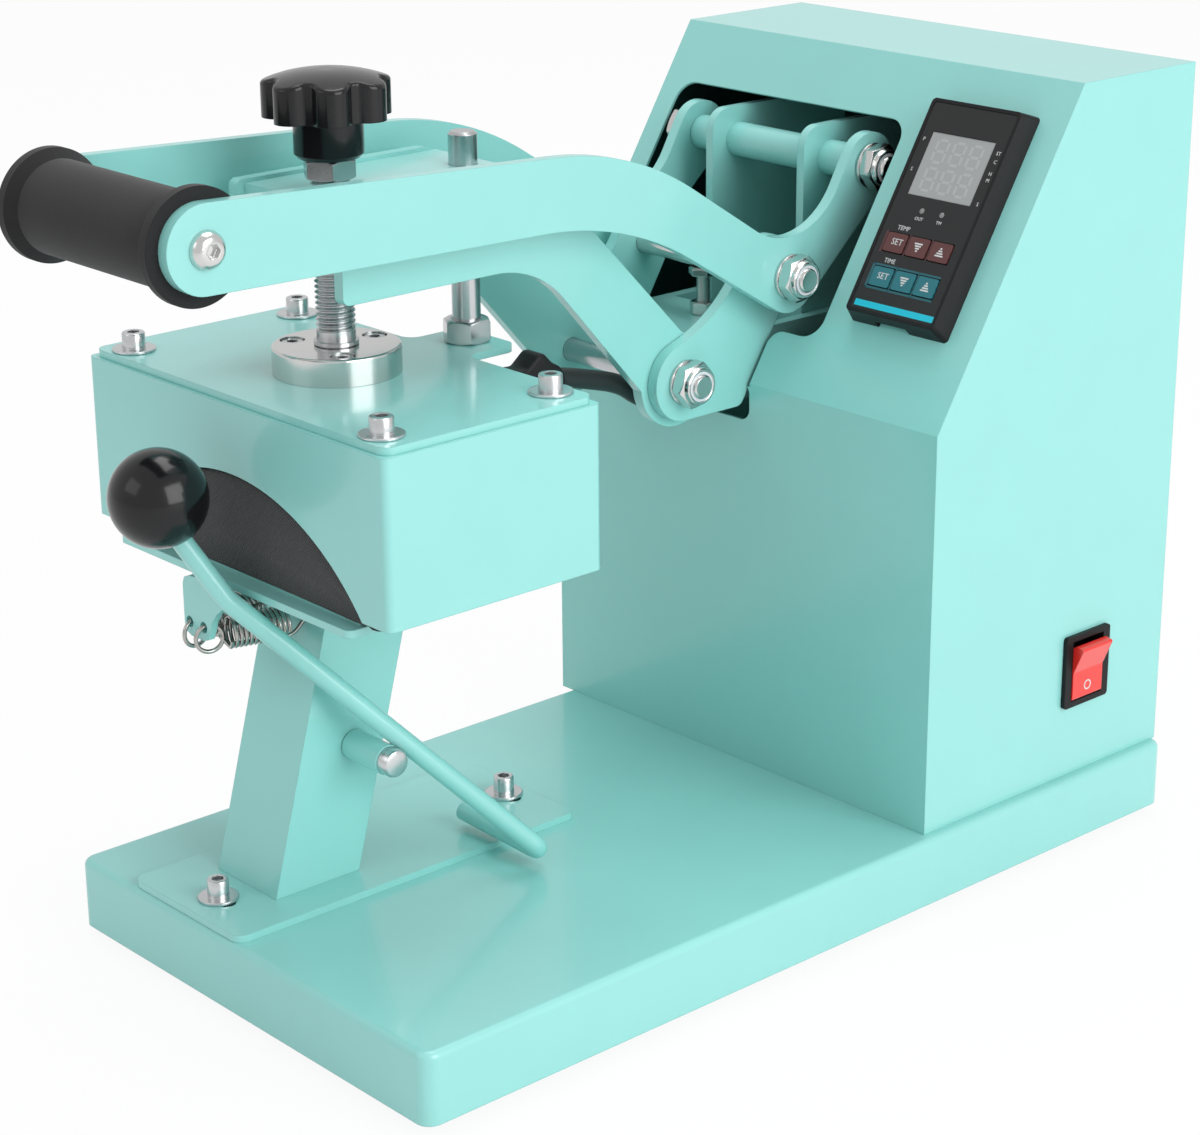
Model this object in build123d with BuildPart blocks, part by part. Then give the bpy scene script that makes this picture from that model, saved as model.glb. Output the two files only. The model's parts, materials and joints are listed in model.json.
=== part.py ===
from build123d import *
import math
import os

os.makedirs("parts", exist_ok=True)

# Cap heat press: a flat curved-platen press on a sheet-metal base, closed by an over-centre
# toggle.  Millimetres, +X to the machine's right (switch side), +Y to the back, +Z up.
# Depths are counted from the front edge of the base, heights from its underside, and the
# origin is the centre of the whole footprint at bench level.

# ---------------------------------------------------------------- driving dimensions
base_w = 220.0
base_d = 410.0
base_h = 28.6
base_sheet = 2.0
base_corner_r = 6.0
base_edge_r = 3.0
base_lip = 34.0
foot_h = 5.0
foot_r = 9.0
foot_inset = 24.0
foot_taper_r = 1.5

tower_w = 220.0
tower_front_d = 261.0
tower_rear_d = 409.5
tower_knee_h = 196.0
tower_top_d = 340.0
tower_top_h = 322.0
tower_sheet = 1.5
tower_offset = 5.0
inlet_flange = 3.0

grip_d = -7.0
grip_h = 297.5
grip_end_r = 21.0
grip_r = 17.5

press_offset = 38.5
head_w = 185.8
rocker_reach = 7.0
run_gap = 0.05
side_gap = 0.3
seat_gap = 0.02

bolt_r = 5.0
nut_af = 17.0
nut_t = 8.0
nut_collar_t = 2.0
bolt_head_t = 6.4
washer_r = 10.0
washer_t = 1.5
bolt_end = 1.2

# planes of the toggle, measured to each side from the middle of the press
frame_plate_in = 24.8
frame_plate_t = 4.0
arm_t = 5.0
arm_in = 29.2
link_in = 34.5
handle_in = 46.9

# ---------------------------------------------------------------- the shared frame
grip_reach = grip_end_r - grip_d
origin_d = (tower_rear_d + inlet_flange - grip_reach) / 2
reach_left = press_offset + head_w / 2
reach_right = tower_w / 2 - tower_offset + rocker_reach
base_x = (reach_left - reach_right) / 2
tower_x = base_x - tower_offset
press_x = base_x - press_offset


def Y(depth):
    return depth - origin_d


def Z(height):
    return height + foot_h


def at(depth, height):
    return (Y(depth), Z(height))


def side_plane(x):
    return Plane.YZ.offset(x)


def level(height):
    return Plane.XY.offset(Z(height))


# pivots of the toggle (depth, height)
pivot_handle = (319.0, 279.4)
pivot_link = (273.4, 240.6)
pivot_knuckle = (227.0, 203.0)
pivot_arm = (330.0, 201.5)


# ---------------------------------------------------------------- shared operations
def save(block, name):
    block.part.label = name
    export_step(block.part, f"parts/{name}.step")


def disc_x(x, length, spot, radius, mode=Mode.ADD):
    """Cylinder along X from x, positive or negative length, on the axis (depth, height)."""
    with BuildSketch(side_plane(x)) as disc:
        with Locations(at(*spot)):
            Circle(radius)
    extrude(disc.sketch, amount=length, mode=mode)


def hex_x(x, length, spot, across_flats, mode=Mode.ADD):
    with BuildSketch(side_plane(x)) as nut:
        with Locations(at(*spot)):
            RegularPolygon(across_flats / 2, 6, major_radius=False, rotation=30)
    extrude(nut.sketch, amount=length, mode=mode)


def disc_z(x, depth, low, high, radius, mode=Mode.ADD):
    """Upright cylinder between two heights."""
    with BuildSketch(level(low)) as disc:
        with Locations((x, Y(depth))):
            Circle(radius)
    extrude(disc.sketch, amount=high - low, mode=mode)


def hex_z(x, depth, low, high, across_flats, mode=Mode.ADD):
    with BuildSketch(level(low)) as nut:
        with Locations((x, Y(depth))):
            RegularPolygon(across_flats / 2, 6, major_radius=False)
    extrude(nut.sketch, amount=high - low, mode=mode)


def box_between(x0, x1, d0, d1, h0, h1, mode=Mode.ADD):
    with BuildSketch(level(h0)) as foot:
        with Locations(((x0 + x1) / 2, (Y(d0) + Y(d1)) / 2)):
            Rectangle(abs(x1 - x0), abs(d1 - d0))
    extrude(foot.sketch, amount=h1 - h0, mode=mode)


def nearest(vertices, spot):
    target = Vector(*at(*spot), 0)
    return min(vertices, key=lambda v: (Vector(v.X, v.Y, 0) - target).length)


def tangent_point(outside, centre, radius, turn):
    """Where the line from a point touches a circle; turn is +1 or -1 for the side."""
    dx = outside[0] - centre[0]
    dy = outside[1] - centre[1]
    reach = math.hypot(dx, dy)
    angle = math.atan2(dy, dx) + turn * math.acos(radius / reach)
    return (centre[0] + radius * math.cos(angle), centre[1] + radius * math.sin(angle))


def beside(spot, other, distance):
    """A point beside spot, square to the line towards other; positive is to its left."""
    dx = other[0] - spot[0]
    dy = other[1] - spot[1]
    reach = math.hypot(dx, dy)
    return (spot[0] - dy / reach * distance, spot[1] + dx / reach * distance)


def outline(points, rounds, bosses):
    """Plate profile in the plane Z-Y: corners, their radii by corner, and round bosses."""
    with BuildSketch() as profile:
        with BuildLine():
            Polyline(*[at(*p) for p in points], close=True)
        make_face()
        for corner, radius in rounds:
            fillet(nearest(profile.vertices(), corner), radius)
        for centre, radius in bosses:
            with Locations(at(*centre)):
                Circle(radius)
    return profile.sketch


def plate(profile, x, thickness):
    """Extrude a profile drawn in (depth, height) from x towards +X."""
    extrude(side_plane(x) * profile, amount=thickness)


def mirrored(inner, thickness):
    """Left-hand X of the far plate and of the near plate of a pair."""
    return press_x - inner - thickness, press_x + inner


def ring_x(x, length, spot, outer, inner):
    """Tube along X, drawn as a ring so that it leaves what runs through it alone."""
    with BuildSketch(side_plane(x)) as ring:
        with Locations(at(*spot)):
            Circle(outer)
            Circle(inner, mode=Mode.SUBTRACT)
    extrude(ring.sketch, amount=length)


def long_bolt(spot, half_width):
    """Bolt through a pair of plates: head on the left, locknut on the right, two washers."""
    left = press_x - half_width
    right = press_x + half_width
    head_x = left - washer_t - seat_gap
    nut_x = right + washer_t + seat_gap
    disc_x(head_x, nut_x + nut_t + bolt_end - head_x, spot, bolt_r)
    hex_x(head_x, -bolt_head_t, spot, nut_af)
    ring_x(left - washer_t, washer_t, spot, washer_r, bolt_r + run_gap)
    ring_x(right, washer_t, spot, washer_r, bolt_r + run_gap)
    with BuildSketch(side_plane(nut_x)) as nut:
        with Locations(at(*spot)):
            RegularPolygon(nut_af / 2, 6, major_radius=False, rotation=30)
            Circle(bolt_r + run_gap, mode=Mode.SUBTRACT)
    extrude(nut.sketch, amount=nut_t - nut_collar_t)
    ring_x(nut_x + nut_t - nut_collar_t, nut_collar_t, spot, nut_af / 2 - 1, bolt_r + run_gap)


# ================================================================ base and tower
with BuildPart() as base_pan:
    with BuildSketch(level(0)):
        with Locations((base_x, Y(base_d / 2))):
            RectangleRounded(base_w, base_d, base_corner_r)
    extrude(amount=base_h)
    fillet(base_pan.faces().sort_by(Axis.Z)[-1].edges(), base_edge_r)
    with BuildSketch(level(base_sheet)):
        with Locations((base_x, Y(base_d / 2))):
            RectangleRounded(base_w - 2 * base_sheet, base_d - 2 * base_sheet, base_corner_r - base_sheet)
    extrude(amount=base_h - 2 * base_sheet, mode=Mode.SUBTRACT)
    box_between(base_x - base_w / 2 + base_lip, base_x + base_w / 2 - base_lip,
                base_lip, base_d - base_lip, 0, base_sheet, Mode.SUBTRACT)
save(base_pan, "base_pan")

with BuildPart() as rubber_feet:
    with BuildSketch(level(0)):
        with Locations((base_x, Y(base_d / 2))):
            with GridLocations(base_w - 2 * foot_inset, base_d - 2 * foot_inset, 2, 2):
                Circle(foot_r)
    extrude(amount=-foot_h, taper=math.degrees(math.atan(foot_taper_r / foot_h)))
save(rubber_feet, "rubber_feet")

# the tower's side profile, and the slope that carries window and controller
tower_base_h = base_h
slope_angle = math.atan2(tower_top_h - tower_knee_h, tower_top_d - tower_front_d)
slope_out = Vector(0, -math.sin(slope_angle), math.cos(slope_angle))
slope = Plane(origin=(0, Y(tower_front_d), Z(tower_knee_h)), x_dir=(1, 0, 0), z_dir=slope_out)

window_half = 66.0
window_low = 24.5
window_high = 121.0
window_r = 9.0
notch_half = 41.5
notch_low_h = 180.0
notch_r = 5.0
bump_r = 7.0

case_x = base_x + 66.0
case_w = 51.0
case_l = 96.0
case_mid = 84.0
face_w = 46.0
face_l = 92.0
case_h = 8.5
case_hole_w = 43.0
case_hole_l = 88.0
case_deep = 48.0

switch_in = 51.5
switch_d = tower_rear_d - switch_in
switch_h = 75.9
switch_w = 28.0
switch_l = 31.7
switch_hole_w = 22.0
switch_hole_l = 27.0

inlet_x = base_x + 42.5
inlet_h = 62.0
inlet_w = 27.0
inlet_l = 20.0

tower_profile = [(tower_front_d, tower_base_h), (tower_front_d, tower_knee_h),
                 (tower_top_d, tower_top_h), (tower_rear_d, tower_top_h), (tower_rear_d, tower_base_h)]

with BuildPart() as tower_shell:
    with BuildSketch(side_plane(tower_x - tower_w / 2)):
        with BuildLine():
            Polyline(*[at(*p) for p in tower_profile], close=True)
        make_face()
    extrude(amount=tower_w)
    with BuildSketch(side_plane(tower_x - tower_w / 2 + tower_sheet)) as hollow:
        with BuildLine():
            Polyline(*[at(*p) for p in tower_profile], close=True)
        make_face()
        offset(amount=-tower_sheet, kind=Kind.INTERSECTION, mode=Mode.REPLACE)
        with Locations(at((tower_front_d + tower_rear_d) / 2, tower_base_h + tower_sheet)):
            Rectangle(tower_rear_d - tower_front_d - 2 * tower_sheet, 2 * tower_sheet)
    extrude(amount=tower_w - 2 * tower_sheet, mode=Mode.SUBTRACT)
    # window on the slope, running down into a notch in the front face
    with BuildSketch(slope) as window:
        with Locations((press_x, (window_low + window_high) / 2)):
            RectangleRounded(2 * window_half, window_high - window_low, window_r)
        with Locations((press_x, window_low / 2)):
            Rectangle(2 * notch_half, window_low + 2)
        corners = window.vertices().filter_by(lambda v: abs(v.Y - window_low) < 0.01)
        fillet([v for v in corners if abs(abs(v.X - press_x) - notch_half) < 0.01], bump_r)
    extrude(amount=2 * tower_sheet, both=True, mode=Mode.SUBTRACT)
    front_plane = Plane(origin=(0, Y(tower_front_d), 0), x_dir=(1, 0, 0), z_dir=(0, -1, 0))
    with BuildSketch(front_plane) as notch:
        with Locations((press_x, (Z(notch_low_h) + Z(tower_knee_h)) / 2)):
            Rectangle(2 * notch_half, tower_knee_h - notch_low_h)
        fillet(notch.vertices().group_by(Axis.Z)[0], notch_r)
    extrude(amount=2 * tower_sheet, both=True, mode=Mode.SUBTRACT)
    # controller, switch and mains inlet cut-outs
    with BuildSketch(slope):
        with Locations((case_x, case_mid)):
            Rectangle(case_hole_w, case_hole_l)
    extrude(amount=2 * tower_sheet, both=True, mode=Mode.SUBTRACT)
    with BuildSketch(side_plane(tower_x + tower_w / 2)):
        with Locations(at(switch_d, switch_h)):
            Rectangle(switch_hole_w, switch_hole_l)
    extrude(amount=2 * tower_sheet, both=True, mode=Mode.SUBTRACT)
    box_between(inlet_x - inlet_w / 2, inlet_x + inlet_w / 2, tower_rear_d - 2 * tower_sheet,
                tower_rear_d + 1, inlet_h - inlet_l / 2, inlet_h + inlet_l / 2, Mode.SUBTRACT)
save(tower_shell, "tower_shell")

# ================================================================ controller, switch, inlet
recess_t = 1.2
overlay_w = face_w - 3
overlay_l = face_l - 3
overlay_t = 1.0
key_w = 10.8
key_l = 8.6
key_pitch = 11.7
key_names = ["set", "down", "up"]
key_rows = {"temp": -15.4, "time": -30.1}
key_well = 2.4
key_proud = 0.4
key_travel = 0.8
lcd_w = 32.5
lcd_l = 27.0
lcd_up = 18.7
recess_floor = case_h - recess_t


def key_spots(row_up):
    return [(case_x + (i - 1) * key_pitch, case_mid + row_up) for i in range(3)]


with BuildPart() as controller_case:
    with BuildSketch(slope):
        with Locations((case_x, case_mid)):
            RectangleRounded(case_w, case_l, 2)
    with BuildSketch(slope.offset(case_h)):
        with Locations((case_x, case_mid)):
            RectangleRounded(face_w, face_l, 2)
    loft()
    with BuildSketch(slope):
        with Locations((case_x, case_mid)):
            Rectangle(case_hole_w - 1, case_hole_l - 1)
    extrude(amount=-case_deep)
    # recess that holds the overlay, and a well under each key
    with BuildSketch(slope.offset(case_h)):
        with Locations((case_x, case_mid)):
            RectangleRounded(overlay_w, overlay_l, 1.5)
    extrude(amount=-recess_t, mode=Mode.SUBTRACT)
    with BuildSketch(slope.offset(recess_floor)):
        for row_up in key_rows.values():
            with Locations(*key_spots(row_up)):
                Rectangle(key_w, key_l)
    extrude(amount=-key_well, mode=Mode.SUBTRACT)
    # finger notch under the bottom edge
    with BuildSketch(slope):
        with Locations((case_x - 2, case_mid - case_l / 2)):
            Rectangle(16, 6)
    extrude(amount=3.5, mode=Mode.SUBTRACT)
save(controller_case, "controller_case")

with BuildPart() as controller_face:
    with BuildSketch(slope.offset(recess_floor)):
        with Locations((case_x, case_mid)):
            RectangleRounded(overlay_w - 2 * run_gap, overlay_l - 2 * run_gap, 1.4)
        with Locations((case_x, case_mid + lcd_up)):
            Rectangle(lcd_w, lcd_l, mode=Mode.SUBTRACT)
        for row_up in key_rows.values():
            with Locations(*key_spots(row_up)):
                Rectangle(key_w, key_l, mode=Mode.SUBTRACT)
    extrude(amount=overlay_t)
save(controller_face, "controller_face")

with BuildPart() as controller_lcd:
    with BuildSketch(slope.offset(recess_floor)):
        with Locations((case_x, case_mid + lcd_up)):
            Rectangle(lcd_w - 2 * run_gap, lcd_l - 2 * run_gap)
    extrude(amount=overlay_t - 0.2)
save(controller_lcd, "controller_lcd")

key_bottom = recess_floor - key_well + key_travel + run_gap
key_top = recess_floor + overlay_t + key_proud
for row, row_up in key_rows.items():
    for key_name, spot in zip(key_names, key_spots(row_up)):
        with BuildPart() as key:
            with BuildSketch(slope.offset(key_bottom)):
                with Locations(spot):
                    RectangleRounded(key_w - 2 * side_gap, key_l - 2 * side_gap, 0.8)
            extrude(amount=key_top - key_bottom)
        save(key, f"{row}_{key_name}_key")

# rocker switch on the right face: a framed body with a well, and the rocker in it
switch_flange = 2.0
switch_deep = 20.0
well_l = 26.6
rocker_w = 19.0
rocker_l = 24.4
rocker_ridge = 2.5
rocker_end = 5.0
rocker_back = 4.0
rocker_back_l = 16.0
rocker_well = 9.0
rocker_pin_r = 1.5
rocker_pin_out = 1.0
tower_right = tower_x + tower_w / 2
rocker_tilt = math.degrees(math.atan2(rocker_end - rocker_ridge, rocker_l / 2))

rocker_plane = Plane(origin=(tower_right, Y(switch_d), Z(switch_h)), x_dir=(1, 0, 0), z_dir=(0, -1, 0))
with BuildPart() as switch_bezel:
    with BuildSketch(side_plane(tower_right)) as flange:
        with Locations(at(switch_d, switch_h)):
            RectangleRounded(switch_w, switch_l, 1.5)
    extrude(amount=switch_flange)
    with BuildSketch(side_plane(tower_right)):
        with Locations(at(switch_d, switch_h)):
            Rectangle(switch_hole_w - 0.4, switch_hole_l - 0.4)
    extrude(amount=-switch_deep)
    with BuildSketch(side_plane(tower_right + switch_flange)):
        with Locations(at(switch_d, switch_h)):
            Rectangle(rocker_w + 2 * side_gap, well_l)
    extrude(amount=-rocker_well - switch_flange, mode=Mode.SUBTRACT)
    with BuildSketch(rocker_plane):
        Circle(rocker_pin_r + run_gap)
    extrude(amount=switch_hole_w / 2 - 0.2, both=True, mode=Mode.SUBTRACT)
save(switch_bezel, "switch_bezel")

with BuildPart() as switch_rocker:
    with BuildSketch(rocker_plane):
        with BuildLine():
            Polyline((-rocker_back, -rocker_back_l / 2), (1, -rocker_l / 2), (rocker_end, -rocker_l / 2),
                     (rocker_ridge, 0), (rocker_end, rocker_l / 2), (1, rocker_l / 2),
                     (-rocker_back, rocker_back_l / 2), close=True)
        make_face()
    extrude(amount=rocker_w / 2, both=True)
    fillet(switch_rocker.edges().filter_by(Axis.Y).sort_by(Axis.X)[-2:], 0.8)
    with BuildSketch(rocker_plane):
        Circle(rocker_pin_r)
    extrude(amount=rocker_w / 2 + rocker_pin_out, both=True)
rocker_axis = Axis((tower_right, Y(switch_d), Z(switch_h)), (0, 1, 0))
switch_rocker.part = switch_rocker.part.rotate(rocker_axis, rocker_tilt)
save(switch_rocker, "switch_rocker")

# mains inlet in the rear wall: snap-in flange, socket and three blades
inlet_deep = 20.0
socket_w = 23.0
socket_l = 15.5
socket_deep = 15.0
blade_pitch = 7.0
rear_face = Plane(origin=(0, Y(tower_rear_d), 0), x_dir=(-1, 0, 0), z_dir=(0, 1, 0))
with BuildPart() as mains_inlet:
    with BuildSketch(rear_face):
        with Locations((-inlet_x, Z(inlet_h))):
            RectangleRounded(inlet_w + 5, inlet_l + 5, 2)
    extrude(amount=inlet_flange)
    with BuildSketch(rear_face):
        with Locations((-inlet_x, Z(inlet_h))):
            Rectangle(inlet_w - 0.4, inlet_l - 0.4)
    extrude(amount=-inlet_deep)
    with BuildSketch(rear_face.offset(inlet_flange)) as socket:
        with Locations((-inlet_x, Z(inlet_h))):
            Rectangle(socket_w, socket_l)
        chamfer(socket.vertices().group_by(Axis.Z)[-1], 3.5)
    extrude(amount=-socket_deep, mode=Mode.SUBTRACT)
    with BuildSketch(rear_face.offset(inlet_flange - socket_deep)):
        for across, up in ((-blade_pitch, -2), (0, 2), (blade_pitch, -2)):
            with Locations((-inlet_x + across, Z(inlet_h) + up)):
                Rectangle(2, 4)
    extrude(amount=socket_deep - 4)
save(mains_inlet, "mains_inlet")

# ================================================================ fixed frame of the toggle
frame_front_d = 303.8
frame_rear_d = 385.0
frame_top_h = 293.5
frame_corner_r = 9.0
frame_foot = 18.0
spacer_r = 7.3

frame_profile = outline([(frame_front_d, base_h), (frame_front_d, frame_top_h),
                         (frame_rear_d, frame_top_h), (frame_rear_d, base_h)],
                        [((frame_front_d, frame_top_h), frame_corner_r)], [])
frame_names = ["frame_plate_left", "frame_plate_right"]
for name, x, inward in zip(frame_names, mirrored(frame_plate_in, frame_plate_t), (1, -1)):
    with BuildPart() as frame_plate:
        plate(frame_profile, x, frame_plate_t)
        inner_face = press_x - inward * frame_plate_in
        box_between(inner_face, inner_face + inward * frame_foot, frame_front_d, frame_rear_d,
                    base_h, base_h + frame_plate_t)
        for pivot in (pivot_handle, pivot_arm):
            disc_x(press_x - 40, 80, pivot, bolt_r + run_gap, Mode.SUBTRACT)
    save(frame_plate, name)

frame_out = frame_plate_in + frame_plate_t
handle_out = handle_in + arm_t
link_out = link_in + arm_t
arm_out = arm_in + arm_t


with BuildPart() as handle_pivot_spacers:
    ring_x(press_x - frame_plate_in, 2 * frame_plate_in, pivot_handle, spacer_r, bolt_r + run_gap)
    for x in (press_x - handle_in + side_gap, press_x + frame_out):
        ring_x(x, handle_in - frame_out - side_gap, pivot_handle, spacer_r, bolt_r + run_gap)
save(handle_pivot_spacers, "handle_pivot_spacers")

with BuildPart() as handle_pivot_bolt:
    long_bolt(pivot_handle, handle_out + side_gap)
save(handle_pivot_bolt, "handle_pivot_bolt")

arm_spacer_r = 8.0
with BuildPart() as arm_pivot_spacer:
    ring_x(press_x - frame_plate_in, 2 * frame_plate_in, pivot_arm, arm_spacer_r, bolt_r + run_gap)
save(arm_pivot_spacer, "arm_pivot_spacer")

with BuildPart() as arm_pivot_bolt:
    long_bolt(pivot_arm, arm_out + side_gap)
save(arm_pivot_bolt, "arm_pivot_bolt")

# ================================================================ handle
grip_spot = (grip_d, grip_h)
grip_boss_r = 16.0
handle_boss_r = 13.5
link_boss_r = 15.0
top_bend = (186.8, 304.8)
top_bend_r = 140.0
low_bend = (183.3, 277.9)
low_bend_r = 150.0
crook = (282.9, 243.7)
crook_r = 33.0

handle_profile = outline(
    [tangent_point(top_bend, grip_spot, grip_boss_r, 1), top_bend, crook,
     tangent_point(crook, pivot_handle, handle_boss_r, -1),
     beside(pivot_handle, pivot_link, handle_boss_r), beside(pivot_link, pivot_handle, -link_boss_r),
     tangent_point(low_bend, pivot_link, link_boss_r, 1), low_bend,
     tangent_point(low_bend, grip_spot, grip_boss_r, -1)],
    [(top_bend, top_bend_r), (low_bend, low_bend_r), (crook, crook_r)],
    [(grip_spot, grip_boss_r), (pivot_handle, handle_boss_r), (pivot_link, link_boss_r)])

grip_bolt_r = 4.0
for name, x in zip(["handle_arm_left", "handle_arm_right"], mirrored(handle_in, arm_t)):
    with BuildPart() as handle_arm:
        plate(handle_profile, x, arm_t)
        for pivot in (pivot_handle, pivot_link):
            disc_x(x - 1, arm_t + 2, pivot, bolt_r + run_gap, Mode.SUBTRACT)
        disc_x(x - 1, arm_t + 2, grip_spot, grip_bolt_r + run_gap, Mode.SUBTRACT)
    save(handle_arm, name)

grip_rod_r = 8.0
grip_thread = 16.0
with BuildPart() as grip_rod:
    disc_x(press_x - handle_in, 2 * handle_in, grip_spot, grip_rod_r)
    for x0 in (press_x - handle_in, press_x + handle_in - grip_thread):
        disc_x(x0, grip_thread, grip_spot, grip_bolt_r + run_gap, Mode.SUBTRACT)
save(grip_rod, "grip_rod")

button_r = 7.0
button_t = 4.4
with BuildPart() as grip_bolts:
    for side in (-1, 1):
        face = press_x + side * handle_out
        shank_l = side * (arm_t + grip_thread - 1)
        disc_x(face - shank_l, shank_l, grip_spot, grip_bolt_r)
        disc_x(face, side * button_t, grip_spot, button_r)
    rims = grip_bolts.edges().filter_by(GeomType.CIRCLE).filter_by(lambda e: abs(e.radius - button_r) < 0.01)
    fillet([rims.sort_by(Axis.X)[0], rims.sort_by(Axis.X)[-1]], button_t - 1)
save(grip_bolts, "grip_bolts")

flare_l = 8.0
rim_w = 4.0
rim_r = 1.5
grip_plane = Plane(origin=(press_x, Y(grip_d), Z(grip_h)), x_dir=(1, 0, 0), z_dir=(0, -1, 0))
with BuildPart() as handle_grip:
    with BuildSketch(grip_plane) as grip_shape:
        with BuildLine():
            end = handle_in
            Polyline((-end + flare_l, grip_r), (end - flare_l, grip_r), (end - rim_w, grip_end_r),
                     (end, grip_end_r), (end, grip_rod_r + run_gap), (-end, grip_rod_r + run_gap),
                     (-end, grip_end_r), (-end + rim_w, grip_end_r), close=True)
        make_face()
        rims = grip_shape.vertices().filter_by(lambda v: abs(v.Z - Z(grip_h) - grip_end_r) < 0.01)
        flares = grip_shape.vertices().filter_by(lambda v: abs(v.Z - Z(grip_h) - grip_r) < 0.01)
        fillet(rims, rim_r)
        fillet(flares, 2 * rim_r)
    revolve(axis=Axis(grip_plane.origin, (1, 0, 0)))
save(handle_grip, "handle_grip")

with BuildPart() as link_pivot_bolt:
    long_bolt(pivot_link, handle_out)
save(link_pivot_bolt, "link_pivot_bolt")

with BuildPart() as link_pivot_spacers:
    for x in (press_x - handle_in, press_x + link_out + side_gap):
        ring_x(x, handle_in - link_out - side_gap, pivot_link, spacer_r + 1, bolt_r + run_gap)
save(link_pivot_spacers, "link_pivot_spacers")

# ================================================================ toggle link
knuckle_boss_r = 16.0
link_heel = (258.0, pivot_knuckle[1] - knuckle_boss_r)
link_heel_r = 4.0
link_waist = (247.7, 227.7)
link_waist_r = 62.0
link_profile = outline(
    [(pivot_knuckle[0], pivot_knuckle[1] - knuckle_boss_r), link_heel,
     tangent_point(link_heel, pivot_link, link_boss_r, 1),
     tangent_point(link_waist, pivot_link, link_boss_r, -1), link_waist,
     tangent_point(link_waist, pivot_knuckle, knuckle_boss_r, 1)],
    [(link_heel, link_heel_r), (link_waist, link_waist_r)],
    [(pivot_knuckle, knuckle_boss_r), (pivot_link, link_boss_r)])
for name, x in zip(["link_left", "link_right"], mirrored(link_in, arm_t)):
    with BuildPart() as link:
        plate(link_profile, x, arm_t)
        for pivot in (pivot_knuckle, pivot_link):
            disc_x(x - 1, arm_t + 2, pivot, bolt_r + run_gap, Mode.SUBTRACT)
    save(link, name)

# the knuckle bolt is cut where links and arms meet: its ends ride in the links
with BuildPart() as knuckle_ends:
    long_bolt(pivot_knuckle, link_out)
    disc_x(press_x - link_in, 2 * link_in, pivot_knuckle, bolt_r + run_gap, Mode.SUBTRACT)
save(knuckle_ends, "knuckle_ends")

# ================================================================ head arm
arm_front_d = 62.4
arm_low_h = 262.0
arm_top_h = 298.5
arm_low_bend = (153.9, arm_low_h)
arm_top_bend = (155.9, arm_top_h)
arm_boss_r = 19.3
arm_tail_r = 14.0
arm_nose_r = 3.0
arm_low_bend_r = 45.0
arm_top_bend_r = 14.0
arm_tail_low = pivot_arm[1] - arm_tail_r
arm_tail_top = pivot_arm[1] + arm_tail_r
arm_profile = outline(
    [(arm_front_d, arm_low_h), arm_low_bend, (pivot_knuckle[0] - 11.4, pivot_knuckle[1] - 10.2), (pivot_knuckle[0], arm_tail_low),
     (pivot_arm[0], arm_tail_low), (pivot_arm[0], arm_tail_top), (pivot_knuckle[0] + 9.2, arm_tail_top),
     arm_top_bend, (arm_front_d, arm_top_h)],
    [(arm_low_bend, arm_low_bend_r), (arm_top_bend, arm_top_bend_r),
     ((arm_front_d, arm_low_h), arm_nose_r), ((arm_front_d, arm_top_h), arm_nose_r)],
    [(pivot_knuckle, arm_boss_r), (pivot_arm, arm_tail_r)])
for name, x in zip(["head_arm_left", "head_arm_right"], mirrored(arm_in, arm_t)):
    with BuildPart() as head_arm:
        plate(arm_profile, x, arm_t)
        for pivot in (pivot_knuckle, pivot_arm):
            disc_x(x - 1, arm_t + 2, pivot, bolt_r + run_gap, Mode.SUBTRACT)
    save(head_arm, name)

sleeve_r = 7.5
with BuildPart() as knuckle_shaft:
    disc_x(press_x - arm_out, 2 * arm_out, pivot_knuckle, bolt_r)
    disc_x(press_x - arm_in, 2 * arm_in, pivot_knuckle, sleeve_r)
save(knuckle_shaft, "knuckle_shaft")

screw_d = 84.0
screw_r = 7.5
thread_gap = 0.1
guide_d = 147.0
guide_r = 5.6
arm_plate_t = 5.0
arm_plate_h = 292.0
arm_plate_front = 66.0
arm_plate_rear = 157.0
with BuildPart() as arm_plate:
    box_between(press_x - arm_in, press_x + arm_in, arm_plate_front, arm_plate_rear,
                arm_plate_h, arm_plate_h + arm_plate_t)
    disc_z(press_x, screw_d, arm_plate_h, arm_plate_h + arm_plate_t, screw_r + thread_gap, Mode.SUBTRACT)
    disc_z(press_x, guide_d, arm_plate_h, arm_plate_h + arm_plate_t, guide_r + thread_gap, Mode.SUBTRACT)
save(arm_plate, "arm_plate")

web_front = 246.0
web_rear = 286.0
web_t = 5.0
limit_d = 274.6
limit_r = 3.0
limit_head_r = 5.5
limit_head_t = 3.5
limit_nut_t = 6.5
limit_af = 10.0
limit_low = 198.0
limit_high = pivot_link[1] - bolt_r - 0.2
with BuildPart() as arm_web:
    box_between(press_x - arm_in, press_x + arm_in, web_front, web_rear, arm_tail_top - web_t, arm_tail_top)
    disc_z(press_x, limit_d, arm_tail_top - web_t, arm_tail_top, limit_r + run_gap, Mode.SUBTRACT)
save(arm_web, "arm_web")

with BuildPart() as limit_screw:
    disc_z(press_x, limit_d, limit_low, limit_high, limit_r)
    disc_z(press_x, limit_d, limit_high - limit_head_t, limit_high, limit_head_r)
    hex_z(press_x, limit_d, arm_tail_top, arm_tail_top + limit_nut_t, limit_af)
save(limit_screw, "limit_screw")

# ================================================================ heating head
head_front_d = 33.3
head_rear_d = 133.9
head_low_h = 160.3
head_h = 64.1
head_top_h = head_low_h + head_h
head_sheet = 1.5
head_corner_r = 3.0
head_mid_d = (head_front_d + head_rear_d) / 2
head_l = head_rear_d - head_front_d
dome_h = head_low_h - 60.5
heater_r = 98.0

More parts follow.
